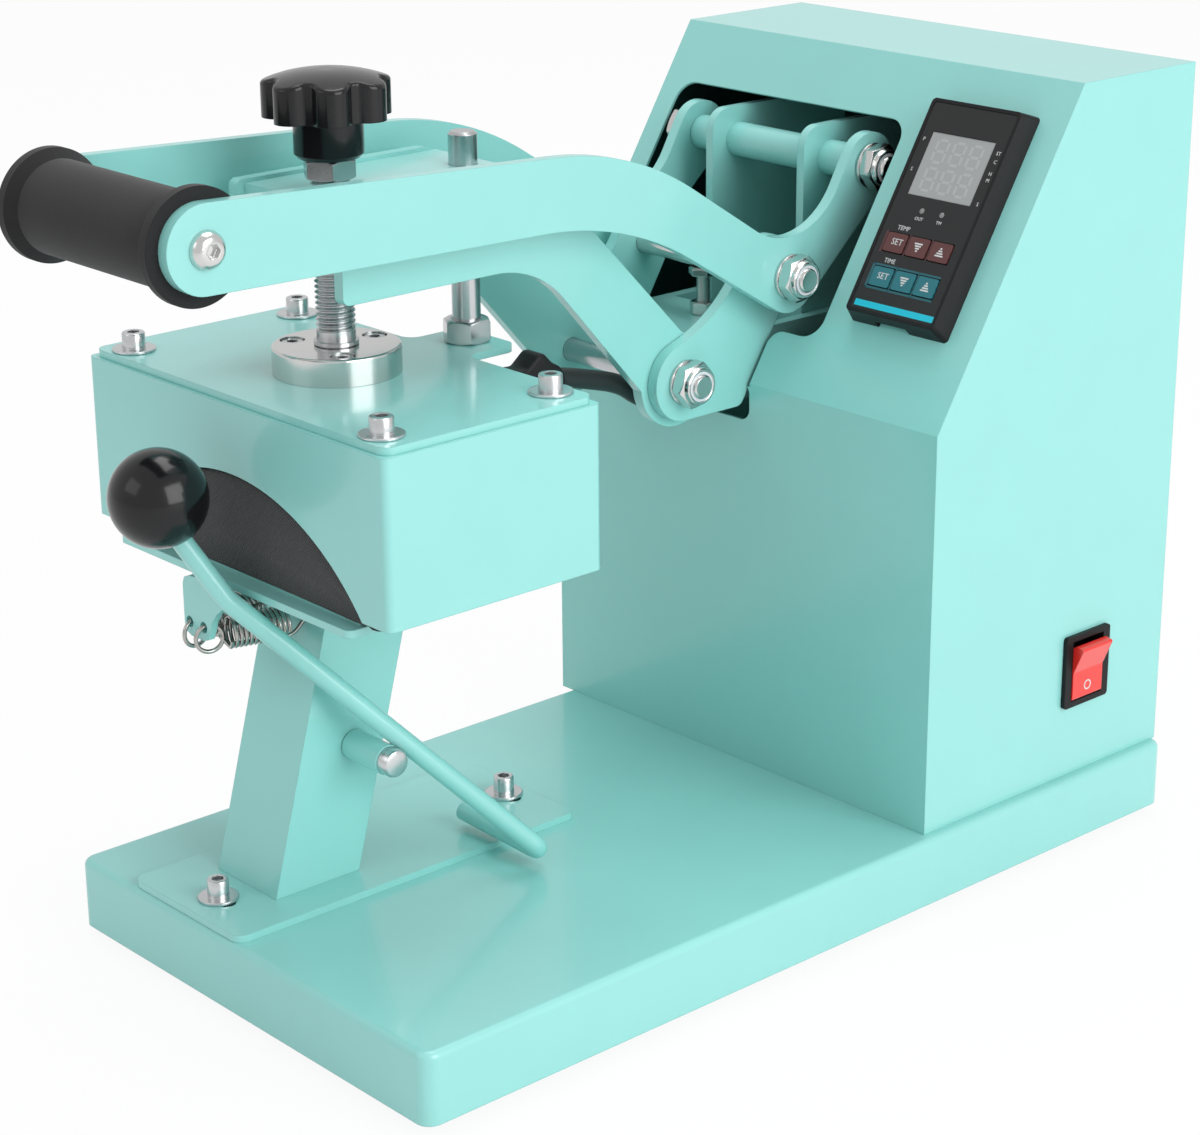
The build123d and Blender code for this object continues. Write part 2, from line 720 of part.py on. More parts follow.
front_wall = Plane(origin=(press_x, Y(head_front_d), Z(0)), x_dir=(1, 0, 0), z_dir=(0, -1, 0))
with BuildPart() as head_cover:
    with BuildSketch(level(head_low_h)):
        with Locations((press_x, Y(head_mid_d))):
            RectangleRounded(head_w, head_l, head_corner_r)
    extrude(amount=head_top_h - head_low_h)
    with BuildSketch(level(head_low_h)):
        with Locations((press_x, Y(head_mid_d))):
            RectangleRounded(head_w - 2 * head_sheet, head_l - 2 * head_sheet, head_corner_r - head_sheet)
    extrude(amount=head_top_h - head_low_h - head_sheet, mode=Mode.SUBTRACT)
    with BuildSketch(front_wall.offset(1)):
        with Locations((0, dome_h)):
            Circle(heater_r)
    extrude(amount=-head_l - 2, mode=Mode.SUBTRACT)
    head_bolt_r = 2.5
    head_bolt_x = 77.5
    head_bolt_d = 39.0
    with BuildSketch(level(head_top_h)):
        with Locations((press_x, Y(head_mid_d))):
            with GridLocations(2 * head_bolt_x, 2 * head_bolt_d, 2, 2):
                Circle(head_bolt_r + thread_gap)
    extrude(amount=-head_sheet, mode=Mode.SUBTRACT)
save(head_cover, "head_cover")

heater_gap = 1.2
heater_low_h = head_low_h + 3.7
heater_high_h = head_top_h - head_sheet
heater_w = head_w - 2 * head_sheet - 2 * heater_gap
heater_l = head_l - 2 * head_sheet - 2 * heater_gap
head_bolt_grip = 14.0
with BuildPart() as heater_block:
    with BuildSketch(level(heater_low_h)):
        with Locations((press_x, Y(head_mid_d))):
            Rectangle(heater_w, heater_l)
    extrude(amount=heater_high_h - heater_low_h)
    with BuildSketch(front_wall.offset(1)):
        with Locations((0, dome_h)):
            Circle(heater_r)
    extrude(amount=-head_l - 2, mode=Mode.SUBTRACT)
    with BuildSketch(level(heater_high_h)):
        with Locations((press_x, Y(head_mid_d))):
            with GridLocations(2 * head_bolt_x, 2 * head_bolt_d, 2, 2):
                Circle(head_bolt_r + thread_gap)
    extrude(amount=-head_bolt_grip, mode=Mode.SUBTRACT)
save(heater_block, "heater_block")

# top plate with a tongue to the rear that carries the guide rod
head_plate_t = 3.0
head_plate_h = head_top_h + head_plate_t
head_plate_in = 1.8
head_plate_r = 5.0
tongue_w = 34.0
tongue_end_d = 158.0
tongue_root_r = 6.0
collar_r = 24.5
collar_t = 10.6
collar_h = head_plate_h + collar_t
collar_bolt_r = 2.5
collar_pcd = 36.0
flange_r = 10.2
flange_low = head_plate_h + 0.8
flange_high = flange_low + 3.8
with BuildPart() as head_top_plate:
    with BuildSketch(level(head_top_h)) as top_shape:
        with Locations((press_x, Y(head_mid_d))):
            RectangleRounded(head_w - 2 * head_plate_in, head_l - 2 * head_plate_in, head_plate_r)
        with Locations((press_x, Y((head_mid_d + tongue_end_d) / 2))):
            Rectangle(tongue_w, tongue_end_d - head_mid_d)
        fillet(top_shape.vertices().group_by(Axis.Y)[-1], head_plate_r)
        roots = top_shape.vertices().filter_by(lambda v: abs(abs(v.X - press_x) - tongue_w / 2) < 0.01)
        fillet(roots.group_by(Axis.Y)[0], tongue_root_r)
    extrude(amount=head_plate_t)
    with BuildSketch(level(head_plate_h)):
        with Locations((press_x, Y(head_mid_d))):
            with GridLocations(2 * head_bolt_x, 2 * head_bolt_d, 2, 2):
                Circle(head_bolt_r + thread_gap)
        with Locations((press_x, Y(screw_d))):
            with PolarLocations(collar_pcd / 2, 3, start_angle=-30):
                Circle(collar_bolt_r + thread_gap)
        with Locations((press_x, Y(guide_d))):
            Circle(guide_r + run_gap)
    extrude(amount=-head_plate_t, mode=Mode.SUBTRACT)
save(head_top_plate, "head_top_plate")

screw_head_r = 4.5
screw_head_t = 6.2
head_washer_r = 8.5
head_washer_t = 1.2
head_bolt_low = heater_high_h - head_bolt_grip + 1
with BuildPart() as head_bolts:
    head_bolt_top = head_plate_h + head_washer_t + screw_head_t
    with BuildSketch(level(head_bolt_low)):
        with Locations((press_x, Y(head_mid_d))):
            with GridLocations(2 * head_bolt_x, 2 * head_bolt_d, 2, 2):
                Circle(head_bolt_r)
    extrude(amount=head_bolt_top - head_bolt_low)
    with BuildSketch(level(head_plate_h)):
        with Locations((press_x, Y(head_mid_d))):
            with GridLocations(2 * head_bolt_x, 2 * head_bolt_d, 2, 2):
                Circle(head_washer_r)
    extrude(amount=head_washer_t)
    with BuildSketch(level(head_plate_h + head_washer_t)):
        with Locations((press_x, Y(head_mid_d))):
            with GridLocations(2 * head_bolt_x, 2 * head_bolt_d, 2, 2):
                Circle(screw_head_r)
    extrude(amount=screw_head_t)
save(head_bolts, "head_bolts")

# collar that hangs the head on the flange of the pressure screw
counterbore_r = screw_head_r + 0.3
counterbore_t = screw_head_t
with BuildPart() as screw_collar:
    disc_z(press_x, screw_d, head_plate_h, collar_h, collar_r)
    fillet(screw_collar.edges().group_by(Axis.Z)[-1], 1)
    disc_z(press_x, screw_d, head_plate_h, collar_h, screw_r + thread_gap, Mode.SUBTRACT)
    disc_z(press_x, screw_d, head_plate_h, flange_high + 0.3, flange_r + side_gap, Mode.SUBTRACT)
    with BuildSketch(level(collar_h)):
        with Locations((press_x, Y(screw_d))):
            with PolarLocations(collar_pcd / 2, 3, start_angle=-30):
                Circle(collar_bolt_r + thread_gap)
    extrude(amount=head_plate_h - collar_h, mode=Mode.SUBTRACT)
    with BuildSketch(level(collar_h)):
        with Locations((press_x, Y(screw_d))):
            with PolarLocations(collar_pcd / 2, 3, start_angle=-30):
                Circle(counterbore_r)
    extrude(amount=-counterbore_t, mode=Mode.SUBTRACT)
save(screw_collar, "screw_collar")

with BuildPart() as collar_bolts:
    with BuildSketch(level(head_top_h)):
        with Locations((press_x, Y(screw_d))):
            with PolarLocations(collar_pcd / 2, 3, start_angle=-30):
                Circle(collar_bolt_r)
    extrude(amount=collar_h - 1 - head_top_h)
    with BuildSketch(level(collar_h - counterbore_t)):
        with Locations((press_x, Y(screw_d))):
            with PolarLocations(collar_pcd / 2, 3, start_angle=-30):
                Circle(screw_head_r)
    extrude(amount=screw_head_t - 0.5)
save(collar_bolts, "collar_bolts")

guide_high = arm_plate_h + arm_plate_t + 12.7
guide_nut_af = 17.0
guide_nut_t = 9.0
with BuildPart() as guide_rod:
    disc_z(press_x, guide_d, head_top_h, guide_high, guide_r)
    chamfer(guide_rod.edges().group_by(Axis.Z)[-1], 1)
    hex_z(press_x, guide_d, head_plate_h, head_plate_h + guide_nut_t, guide_nut_af)
save(guide_rod, "guide_rod")

# pressure screw, the nut that locks the knob on it, and the star knob
screw_nut_af = 18.0
screw_nut_t = 7.7
nut_low = arm_plate_h + arm_plate_t + 3.8
nut_high = nut_low + screw_nut_t
knob_low = nut_high + 0.1
knob_hub_r = 13.0
shoulder_r = 8.5
shoulder_t = 1.5
knob_hub_edge = 1.6
knob_star_h = knob_low + 14.9
knob_rim_h = knob_star_h + 12.8
knob_high = knob_rim_h + 4.7
knob_core_r = 19.4
knob_root_r = 2.2
knob_edge_r = 1.8
knob_lobe_r = 6.8
knob_lobe_at = 17.5
knob_lobes = 7
knob_bore = 18.0
knob_out_r = knob_lobe_at + knob_lobe_r
with BuildPart() as pressure_screw:
    disc_z(press_x, screw_d, flange_low, flange_high, flange_r)
    disc_z(press_x, screw_d, flange_low, knob_low + knob_bore - 1, screw_r)
    disc_z(press_x, screw_d, collar_h + side_gap, collar_h + side_gap + shoulder_t, shoulder_r)
save(pressure_screw, "pressure_screw")

with BuildPart() as screw_nut:
    hex_z(press_x, screw_d, nut_low, nut_high, screw_nut_af)
    disc_z(press_x, screw_d, nut_low, nut_high, screw_r + run_gap, Mode.SUBTRACT)
save(screw_nut, "screw_nut")

# the star is cut from a turned blank: rounded hub, flat underside and a low crown
with BuildPart() as pressure_knob:
    with BuildSketch(level(knob_low)) as star:
        with Locations((press_x, Y(screw_d))):
            Circle(knob_core_r)
            with PolarLocations(knob_lobe_at, knob_lobes, start_angle=20):
                Circle(knob_lobe_r)
        fillet(star.vertices(), knob_root_r)
    extrude(amount=knob_high - knob_low)
    with BuildSketch(Plane.XZ.offset(-Y(screw_d))) as blank:
        with BuildLine():
            low = Polyline((press_x, Z(knob_low)), (press_x + knob_hub_r - knob_hub_edge, Z(knob_low)),
                           (press_x + knob_hub_r, Z(knob_low + knob_hub_edge)),
                           (press_x + knob_hub_r, Z(knob_star_h)), (press_x + knob_out_r + 1, Z(knob_star_h)),
                           (press_x + knob_out_r + 1, Z(knob_rim_h)))
            crown = ThreePointArc(low @ 1, (press_x + 0.55 * knob_out_r, Z(knob_high - 1.1)),
                                  (press_x, Z(knob_high)))
            Line(crown @ 1, low @ 0)
        make_face()
    revolve(axis=Axis((press_x, Y(screw_d), 0), (0, 0, 1)), mode=Mode.INTERSECT)
    rim = pressure_knob.edges().filter_by_position(Axis.Z, Z(knob_rim_h) - 1, Z(knob_high) - 0.5)
    fillet(rim, knob_edge_r)
    disc_z(press_x, screw_d, knob_low, knob_low + knob_bore, screw_r + run_gap, Mode.SUBTRACT)
save(pressure_knob, "pressure_knob")

# boot where the heater cable leaves the head, and the cable to the tower
cable_r = 4.0
cable_x = press_x + 30.0
boot_w = 13.0
boot_corners = [(0, -14.4), (0, 4.6), (6.1, 10.1), (13.1, 7.6), (21.6, -2.9), (17.6, -13.9)]
with BuildPart() as cable_boot:
    with BuildSketch(side_plane(cable_x - boot_w / 2)) as boot:
        with BuildLine():
            Polyline(*[at(head_rear_d + back, head_top_h + up) for back, up in boot_corners], close=True)
        make_face()
        fillet(boot.vertices().sort_by(Axis.X)[2:], 3)
    extrude(amount=boot_w)
cable_route = [(cable_x, head_rear_d + 16.1, head_top_h - 5.9), (cable_x - 1.0, 170.0, 212.0), (cable_x - 6.5, 193.0, 204.0),
               (cable_x - 8.5, 214.0, 193.5), (cable_x - 9.5, 237.0, 188.2), (cable_x - 9.5, 262.0, 188.8),
               (cable_x - 9.5, 288.0, 186.5)]


def bend_radii(route):
    """As large an arc at each inner point as its two runs allow."""
    radii = []
    for before, here, after in zip(route, route[1:], route[2:]):
        into = Vector(*here) - Vector(*before)
        out = Vector(*after) - Vector(*here)
        half_turn = math.radians(into.get_angle(out)) / 2
        radii.append(0.45 * min(into.length, out.length) / math.tan(half_turn))
    return radii


cable_points = [Vector(x, Y(depth), Z(height)) for x, depth, height in cable_route]
cable_radii = bend_radii(cable_points)
print("heater cable bend radii", [round(r, 1) for r in cable_radii])
with BuildPart() as heater_cable:
    with BuildLine() as cable_line:
        FilletPolyline(*cable_points, radius=cable_radii)
    with BuildSketch(Plane(origin=cable_line.line @ 0, z_dir=cable_line.line % 0)):
        Circle(cable_r)
    sweep()
print("cable volume over section times length",
      heater_cable.part.volume / (math.pi * cable_r ** 2 * sum(e.length for e in cable_line.edges())))
cable_start = cable_line.line @ 0
cable_dir = cable_line.line % 0
with cable_boot:
    with BuildSketch(Plane(origin=cable_start, z_dir=cable_dir)):
        Circle(cable_r)
    extrude(amount=12, mode=Mode.SUBTRACT)
save(cable_boot, "cable_boot")
save(heater_cable, "heater_cable")

# ================================================================ lower platen on its stand
platen_front_d = 30.0
platen_rear_d = 137.0
platen_low_h = head_low_h - 6.5
platen_t = 3.0
platen_w = 147.0
platen_wall = 5.0
pad_gap = 0.7
pad_t = 6.0
pad_wall = 3.0
pad_front_d = head_front_d + 0.8
pad_rear_d = head_rear_d - 0.8
pad_tab_w = 2 * (head_w / 2 - head_sheet - 1.5)
pad_tab_t = 3.2
pad_r = heater_r - pad_gap
dome_r = pad_r - pad_t
platen_top_h = platen_low_h + platen_t


def dome(radius, low_h, d0, d1):
    """Solid arched over low_h, lying along Y between two depths."""
    with BuildSketch(Plane(origin=(press_x, Y(d0), Z(0)), x_dir=(1, 0, 0), z_dir=(0, -1, 0))) as arch:
        with Locations((0, dome_h)):
            Circle(radius)
        with Locations((0, low_h - radius)):
            Rectangle(4 * radius, 2 * radius, mode=Mode.SUBTRACT)
    return extrude(arch.sketch, amount=d0 - d1, mode=Mode.PRIVATE)


with BuildPart() as platen:
    with BuildSketch(level(platen_low_h)):
        with Locations((press_x, Y((platen_front_d + platen_rear_d) / 2))):
            RectangleRounded(platen_w, platen_rear_d - platen_front_d, 3)
    extrude(amount=platen_t)
    add(dome(dome_r, platen_top_h, pad_front_d + pad_wall, pad_rear_d - pad_wall))
    core_front_d = pad_front_d + pad_wall + platen_wall
    core_rear_d = pad_rear_d - pad_wall - platen_wall
    add(dome(dome_r - platen_wall, platen_top_h, core_front_d, core_rear_d), mode=Mode.SUBTRACT)
save(platen, "platen")

with BuildPart() as platen_pad:
    add(dome(pad_r, platen_top_h, pad_front_d, pad_rear_d))
    with BuildSketch(level(platen_top_h)):
        with Locations((press_x, Y((pad_front_d + pad_rear_d) / 2))):
            Rectangle(pad_tab_w, pad_rear_d - pad_front_d)
    extrude(amount=pad_tab_t)
    add(dome(dome_r, platen_top_h, pad_front_d + pad_wall, pad_rear_d - pad_wall), mode=Mode.SUBTRACT)
save(platen_pad, "platen_pad")

foot_plate_t = 3.0
foot_plate_w = 71.0
foot_plate_front = 2.0
foot_plate_rear = 170.0
foot_plate_r = 5.0
foot_bolt_r = 3.0
foot_bolt_d = (16.0, 159.0)
foot_bolt_x = press_x + 2.5
foot_slot_l = 18.0
foot_washer_r = 7.9
foot_washer_t = 1.5
foot_head_r = 4.2
foot_head_t = 7.0
plate_top_h = base_h + foot_plate_t
with BuildPart() as foot_plate:
    with BuildSketch(level(base_h)):
        with Locations((press_x, Y((foot_plate_front + foot_plate_rear) / 2))):
            RectangleRounded(foot_plate_w, foot_plate_rear - foot_plate_front, foot_plate_r)
        for depth in foot_bolt_d:
            with Locations((foot_bolt_x, Y(depth))):
                SlotOverall(foot_slot_l, 2 * foot_bolt_r + 1, mode=Mode.SUBTRACT)
    extrude(amount=foot_plate_t)
save(foot_plate, "foot_plate")

with BuildPart() as foot_bolts:
    for depth in foot_bolt_d:
        disc_z(foot_bolt_x, depth, base_h, plate_top_h + foot_washer_t + foot_head_t, foot_bolt_r)
        disc_z(foot_bolt_x, depth, plate_top_h, plate_top_h + foot_washer_t, foot_washer_r)
        disc_z(foot_bolt_x, depth, plate_top_h + foot_washer_t, plate_top_h + foot_washer_t + foot_head_t,
               foot_head_r)
save(foot_bolts, "foot_bolts")

column_w = 38.0
column_l = 40.0
column_wall = 3.0
column_front_d = 31.0
column_lean = 29.0 / 107.0
lever_pivot = (70.5, 85.2)
lever_bolt_r = 4.0


def column_outline(inset):
    """Leaning column seen from the side: front and rear edges moved in by inset."""
    front = column_front_d + inset
    rear = column_front_d + column_l - inset
    shift = column_lean * (platen_low_h - plate_top_h)
    return [(front, plate_top_h), (rear, plate_top_h),
            (rear + shift, platen_low_h), (front + shift, platen_low_h)]


def column_front(height):
    return column_front_d + column_lean * (height - plate_top_h)


# springs from the ear of the lever to the front of the column
spring_wire_r = 1.0
spring_r = 5.8
spring_ring_r = 4.0
spring_ring_h = 135.8
spring_ring_d = 22.8
spring_ring_x = {"spring_left": -13.0, "spring_right": -4.0}
spring_hole_x = {"spring_left": -15.5, "spring_right": 7.5}
spring_hole_h = {"spring_left": 142.0, "spring_right": 136.5}


def spring_ends(name):
    start = Vector(press_x + spring_ring_x[name], Y(spring_ring_d), Z(spring_ring_h))
    high = spring_hole_h[name]
    end = Vector(press_x + spring_hole_x[name], Y(column_front(high)), Z(high))
    return start, end


with BuildPart() as stand_column:
    with BuildSketch(side_plane(press_x - column_w / 2)):
        with BuildLine():
            Polyline(*[at(*p) for p in column_outline(0)], close=True)
        make_face()
    extrude(amount=column_w)
    with BuildSketch(side_plane(press_x - column_w / 2 + column_wall)):
        with BuildLine():
            Polyline(*[at(*p) for p in column_outline(column_wall)], close=True)
        make_face()
    extrude(amount=column_w - 2 * column_wall, mode=Mode.SUBTRACT)
    disc_x(press_x - column_w / 2 - 1, column_w + 2, lever_pivot, lever_bolt_r + run_gap, Mode.SUBTRACT)
    for name in spring_ring_x:
        start, end = spring_ends(name)
        with BuildSketch(Plane(origin=end, z_dir=(end - start).normalized())):
            Circle(spring_wire_r + side_gap)
        extrude(amount=column_wall, both=True, mode=Mode.SUBTRACT)
save(stand_column, "stand_column")

# ================================================================ clamp lever
rod_r = 4.0
hub_r = 8.0
hub_left = press_x + column_w / 2 + side_gap
hub_right = hub_left + 21.5
lever_af = 13.0
lever_head_t = 5.3
ball_r = 18.5
lever_route = [(0.0, 1.5, 195.6), (6.0, 19.7, 151.7), (62.1, 128.6, 35.7), (6.5, 127.0, 38.0)]
lever_radii = [14.0, 5.5]
lever_points = [Vector(press_x + x, Y(depth), Z(height)) for x, depth, height in lever_route]

ear_d = 20.5
ear_t = 3.0
ear_left = -16.5
ear_right = 4.0
ear_low = spring_ring_h - 1.8
ear_high = 158.0
ear_hole_r = 2.2
with BuildPart() as lever_rod:
    with BuildLine() as rod_line:
        FilletPolyline(*lever_points, radius=lever_radii)
    with BuildSketch(Plane(origin=rod_line.line @ 0, z_dir=rod_line.line % 0)):
        Circle(rod_r)
    sweep()
    disc_x(hub_left, hub_right - hub_left, lever_pivot, hub_r)
    disc_x(hub_left - 1, hub_right - hub_left + 2, lever_pivot, lever_bolt_r + run_gap, Mode.SUBTRACT)
    ear_plane = Plane(origin=(press_x, Y(ear_d + ear_t), Z(0)), x_dir=(1, 0, 0), z_dir=(0, -1, 0))
    with BuildSketch(ear_plane) as ear:
        with Locations(((ear_left + ear_right) / 2, (ear_low + ear_high) / 2)):
            Rectangle(ear_right - ear_left, ear_high - ear_low)
        fillet(ear.vertices().sort_by(Axis.X)[:2], 4)
        for name in spring_ring_x:
            with Locations((spring_ring_x[name], spring_ring_h + spring_ring_r - side_gap)):
                Circle(ear_hole_r, mode=Mode.SUBTRACT)
    extrude(amount=ear_t)
save(lever_rod, "lever_rod")

with BuildPart() as lever_ball:
    with Locations(lever_points[0]):
        Sphere(ball_r)
    rod_way = (lever_points[1] - lever_points[0]).normalized()
    with BuildSketch(Plane(origin=lever_points[0], z_dir=rod_way)):
        Circle(rod_r + run_gap)
    extrude(amount=ball_r + 1, mode=Mode.SUBTRACT)
save(lever_ball, "lever_ball")

with BuildPart() as lever_bolt:
    left = press_x - column_w / 2
    disc_x(left - nut_t, hub_right - left + nut_t, lever_pivot, lever_bolt_r)
    hex_x(left, -nut_t + 1, lever_pivot, lever_af)
    hex_x(hub_right + side_gap, lever_head_t, lever_pivot, lever_af)
    disc_x(hub_right, side_gap, lever_pivot, lever_bolt_r)
save(lever_bolt, "lever_bolt")

spring_ring_gap = 7.5
spring_end_gap = 6.0
for name in spring_ring_x:
    start, end = spring_ends(name)
    way = (end - start).normalized()
    coil_l = (end - start).length - spring_ring_gap - spring_end_gap
    with BuildPart() as spring:
        with BuildSketch(Plane(origin=start + way * spring_ring_gap, z_dir=way)):
            Circle(spring_r)
            Circle(spring_r - 2 * spring_wire_r, mode=Mode.SUBTRACT)
        extrude(amount=coil_l)
        # straight end that reaches the hole in the column
        with BuildSketch(Plane(origin=start + way * (spring_ring_gap + coil_l - spring_wire_r), z_dir=way)):
            Circle(spring_wire_r)
        extrude(amount=spring_end_gap + spring_wire_r + column_wall - 0.5)
        with BuildSketch(Plane(origin=start + way * (spring_ring_gap + coil_l - spring_wire_r), z_dir=way)):
            Circle(spring_r - 0.5)
        extrude(amount=spring_wire_r)
        # ring that hangs in the ear
        with BuildSketch(Plane(origin=start + Vector(0, spring_ring_r, 0), z_dir=(0, 0, 1))):
            Circle(spring_wire_r)
        revolve(axis=Axis(start, (1, 0, 0)))
        with BuildSketch(Plane(origin=start + way * spring_ring_r, z_dir=way)):
            Circle(spring_wire_r)
        extrude(amount=spring_ring_gap - spring_ring_r + spring_wire_r)
        with BuildSketch(Plane(origin=start + way * spring_ring_gap, z_dir=way)):
            Circle(spring_r - 0.5)
        extrude(amount=spring_wire_r)
    save(spring, name)
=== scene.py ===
# %% [markdown]
# # Dressing a cap heat press
# The solids of the press arrive as a fixed frame of named parts, in metres, with the bench
# top at height zero. This lesson gives each part its real finish, and makes by hand what the
# solids only stand for: threads, nuts, springs, the padded cushion, the cable and the print.

import json
import math

import bmesh
import bpy
from mathutils import Matrix, Vector


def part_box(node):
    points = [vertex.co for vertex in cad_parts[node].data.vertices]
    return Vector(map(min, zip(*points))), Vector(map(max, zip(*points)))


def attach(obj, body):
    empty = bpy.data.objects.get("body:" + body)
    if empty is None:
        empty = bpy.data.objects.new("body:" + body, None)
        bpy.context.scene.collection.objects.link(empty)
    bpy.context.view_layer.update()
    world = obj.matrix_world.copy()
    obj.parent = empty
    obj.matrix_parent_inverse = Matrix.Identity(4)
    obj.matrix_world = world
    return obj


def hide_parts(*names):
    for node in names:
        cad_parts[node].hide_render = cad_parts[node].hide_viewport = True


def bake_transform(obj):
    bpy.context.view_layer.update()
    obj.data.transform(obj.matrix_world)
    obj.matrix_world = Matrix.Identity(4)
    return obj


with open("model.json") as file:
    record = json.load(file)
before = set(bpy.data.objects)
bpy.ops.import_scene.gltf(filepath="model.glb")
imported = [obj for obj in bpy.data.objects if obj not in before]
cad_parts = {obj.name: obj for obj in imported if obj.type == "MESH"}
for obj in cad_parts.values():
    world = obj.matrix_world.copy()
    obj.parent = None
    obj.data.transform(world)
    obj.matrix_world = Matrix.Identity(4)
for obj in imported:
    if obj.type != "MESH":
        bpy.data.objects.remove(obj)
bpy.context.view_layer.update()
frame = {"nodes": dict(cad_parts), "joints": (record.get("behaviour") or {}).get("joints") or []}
nodes = frame["nodes"]
scene = bpy.context.scene
joint_at = {j["name"]: Vector(j["pos_m"]) for j in frame["joints"] if "pos_m" in j}
MM = 0.001
press_x = joint_at["handle_lift"].x
print("parts:", len(nodes), "middle of the press at x", round(press_x, 4))

# %% [markdown]
# ## The camera
# The press is seen from its front right, a little from above, through a long lens, so its
# edges stay nearly parallel. The camera is placed by its position and three turns. Building
# its matrix from the three directions avoids guessing at the order of Euler angles.

# %% Camera
CAMERA_AT = Vector((0.81753, -0.73521, 0.5269))
AZIMUTH = math.radians(48.13)
ELEVATION = math.radians(19.62)
ROLL = math.radians(-0.43)
FOCAL = 86.79
SENSOR = 36

back = Vector((math.sin(AZIMUTH) * math.cos(ELEVATION),
               -math.cos(AZIMUTH) * math.cos(ELEVATION), math.sin(ELEVATION)))
level_right = (-back).cross(Vector((0, 0, 1))).normalized()
level_up = back.cross(level_right)
right = math.cos(ROLL) * level_right + math.sin(ROLL) * level_up
up = math.cos(ROLL) * level_up - math.sin(ROLL) * level_right

lens = bpy.data.cameras.new("press_camera")
lens.sensor_fit = "HORIZONTAL"
lens.sensor_width = SENSOR
lens.lens = FOCAL
camera = bpy.data.objects.new("press_camera", lens)
camera.matrix_world = Matrix.Translation(CAMERA_AT) @ Matrix((right, up, back)).transposed().to_4x4()
scene.collection.objects.link(camera)
scene.camera = camera
print("camera", [round(v, 3) for v in CAMERA_AT], "lens", lens.lens)

# %% [markdown]
# ## Floor and light
# The press stands on white paper that runs to the horizon. A large soft lamp on the switch
# side lights the right-hand faces most, and the white sky fills in the rest. For the camera
# alone the paper is part lamp, so that it stays white away from the press while the soft
# shadow under the base is still there.

# %% Colour view
scene.view_settings.view_transform = "Standard"


# %% Nodes that are used again and again
def feed(tree, socket, value):
    """Link another socket to this one, or set a constant on it."""
    if isinstance(value, bpy.types.NodeSocket):
        tree.links.new(value, socket)
    else:
        socket.default_value = value


def calculate(tree, operation, *values):
    """A Math node, fed with sockets or constants."""
    made = tree.nodes.new("ShaderNodeMath")
    made.operation = operation
    for socket, value in zip(made.inputs, values):
        feed(tree, socket, value)
    return made.outputs[0]


def mix_colours(tree, factor, first, second):
    made = tree.nodes.new("ShaderNodeMix")
    made.data_type = "RGBA"
    for label, value in (("Factor", factor), ("A", first), ("B", second)):
        feed(tree, made.inputs[label], value)
    return made.outputs["Result"]


def mix_shaders(tree, factor, first, second):
    made = tree.nodes.new("ShaderNodeMixShader")
    for place, value in enumerate((factor, first, second)):
        tree.links.new(value, made.inputs[place])
    return made.outputs[0]


# %% What the camera sees
MIRRORED = 0.35


def camera_fraction(tree, at_camera):
    """A factor that is at_camera for what is seen, less in mirrors, and else 0."""
    path = tree.nodes.new("ShaderNodeLightPath")
    mirrored = calculate(tree, "MULTIPLY", path.outputs["Is Glossy Ray"], MIRRORED)
    seen = calculate(tree, "MAXIMUM", path.outputs["Is Camera Ray"], mirrored)
    return calculate(tree, "MULTIPLY", seen, at_camera)


# %% Sky
SKY_LIGHT = 0.63
WHITE = (1, 1, 1, 1)
sky = bpy.data.worlds.new("white_studio")
sky.use_nodes = True
scene.world = sky
tree = sky.node_tree
dim = tree.nodes["Background"]
dim.inputs["Color"].default_value = WHITE
dim.inputs["Strength"].default_value = SKY_LIGHT
white = tree.nodes.new("ShaderNodeBackground")
white.inputs["Color"].default_value = WHITE
white.inputs["Strength"].default_value = 1
sky_mix = mix_shaders(tree, camera_fraction(tree, 1.0), dim.outputs[0], white.outputs[0])
tree.links.new(sky_mix, tree.nodes["World Output"].inputs["Surface"])

# %% Paper floor
FLOOR_SIZE = 30
FLOOR_GLOW = 0.92
bm = bmesh.new()
bmesh.ops.create_grid(bm, x_segments=1, y_segments=1, size=FLOOR_SIZE)
floor_mesh = bpy.data.meshes.new("paper_floor")
bm.to_mesh(floor_mesh)
bm.free()
paper_floor = bpy.data.objects.new("paper_floor", floor_mesh)
scene.collection.objects.link(paper_floor)

paper = bpy.data.materials.new("white_paper")
paper.use_nodes = True
tree = paper.node_tree
matt = tree.nodes["Principled BSDF"]
matt.inputs["Base Color"].default_value = (0.86, 0.86, 0.86, 1)
matt.inputs["Roughness"].default_value = 0.9
glow = tree.nodes.new("ShaderNodeEmission")
paper_mix = mix_shaders(tree, camera_fraction(tree, FLOOR_GLOW), matt.outputs[0], glow.outputs[0])
tree.links.new(paper_mix, tree.nodes["Material Output"].inputs["Surface"])
floor_mesh.materials.append(paper)


# %% Lamps
def soft_lamp(name, at, aim, size, watts):
    light = bpy.data.lights.new(name, "AREA")
    light.shape = "RECTANGLE"
    light.size, light.size_y = size
    light.energy = watts
    lamp = bpy.data.objects.new(name, light)
    lamp.location = at
    lamp.rotation_euler = (Vector(aim) - Vector(at)).to_track_quat("-Z", "Y").to_euler()
    scene.collection.objects.link(lamp)
    print(name, watts, "W at", at)


soft_lamp("side_lamp", (2.3, 0.2, 1.1), (0, 0.05, 0.15), (1.8, 1.8), 38)
soft_lamp("front_lamp", (-0.6, -2.4, 1.6), (0, 0, 0.2), (1.6, 1.2), 6)
soft_lamp("top_lamp", (-0.2, 0.5, 2.4), (0, 0.1, 0.2), (1.4, 1.4), 20)

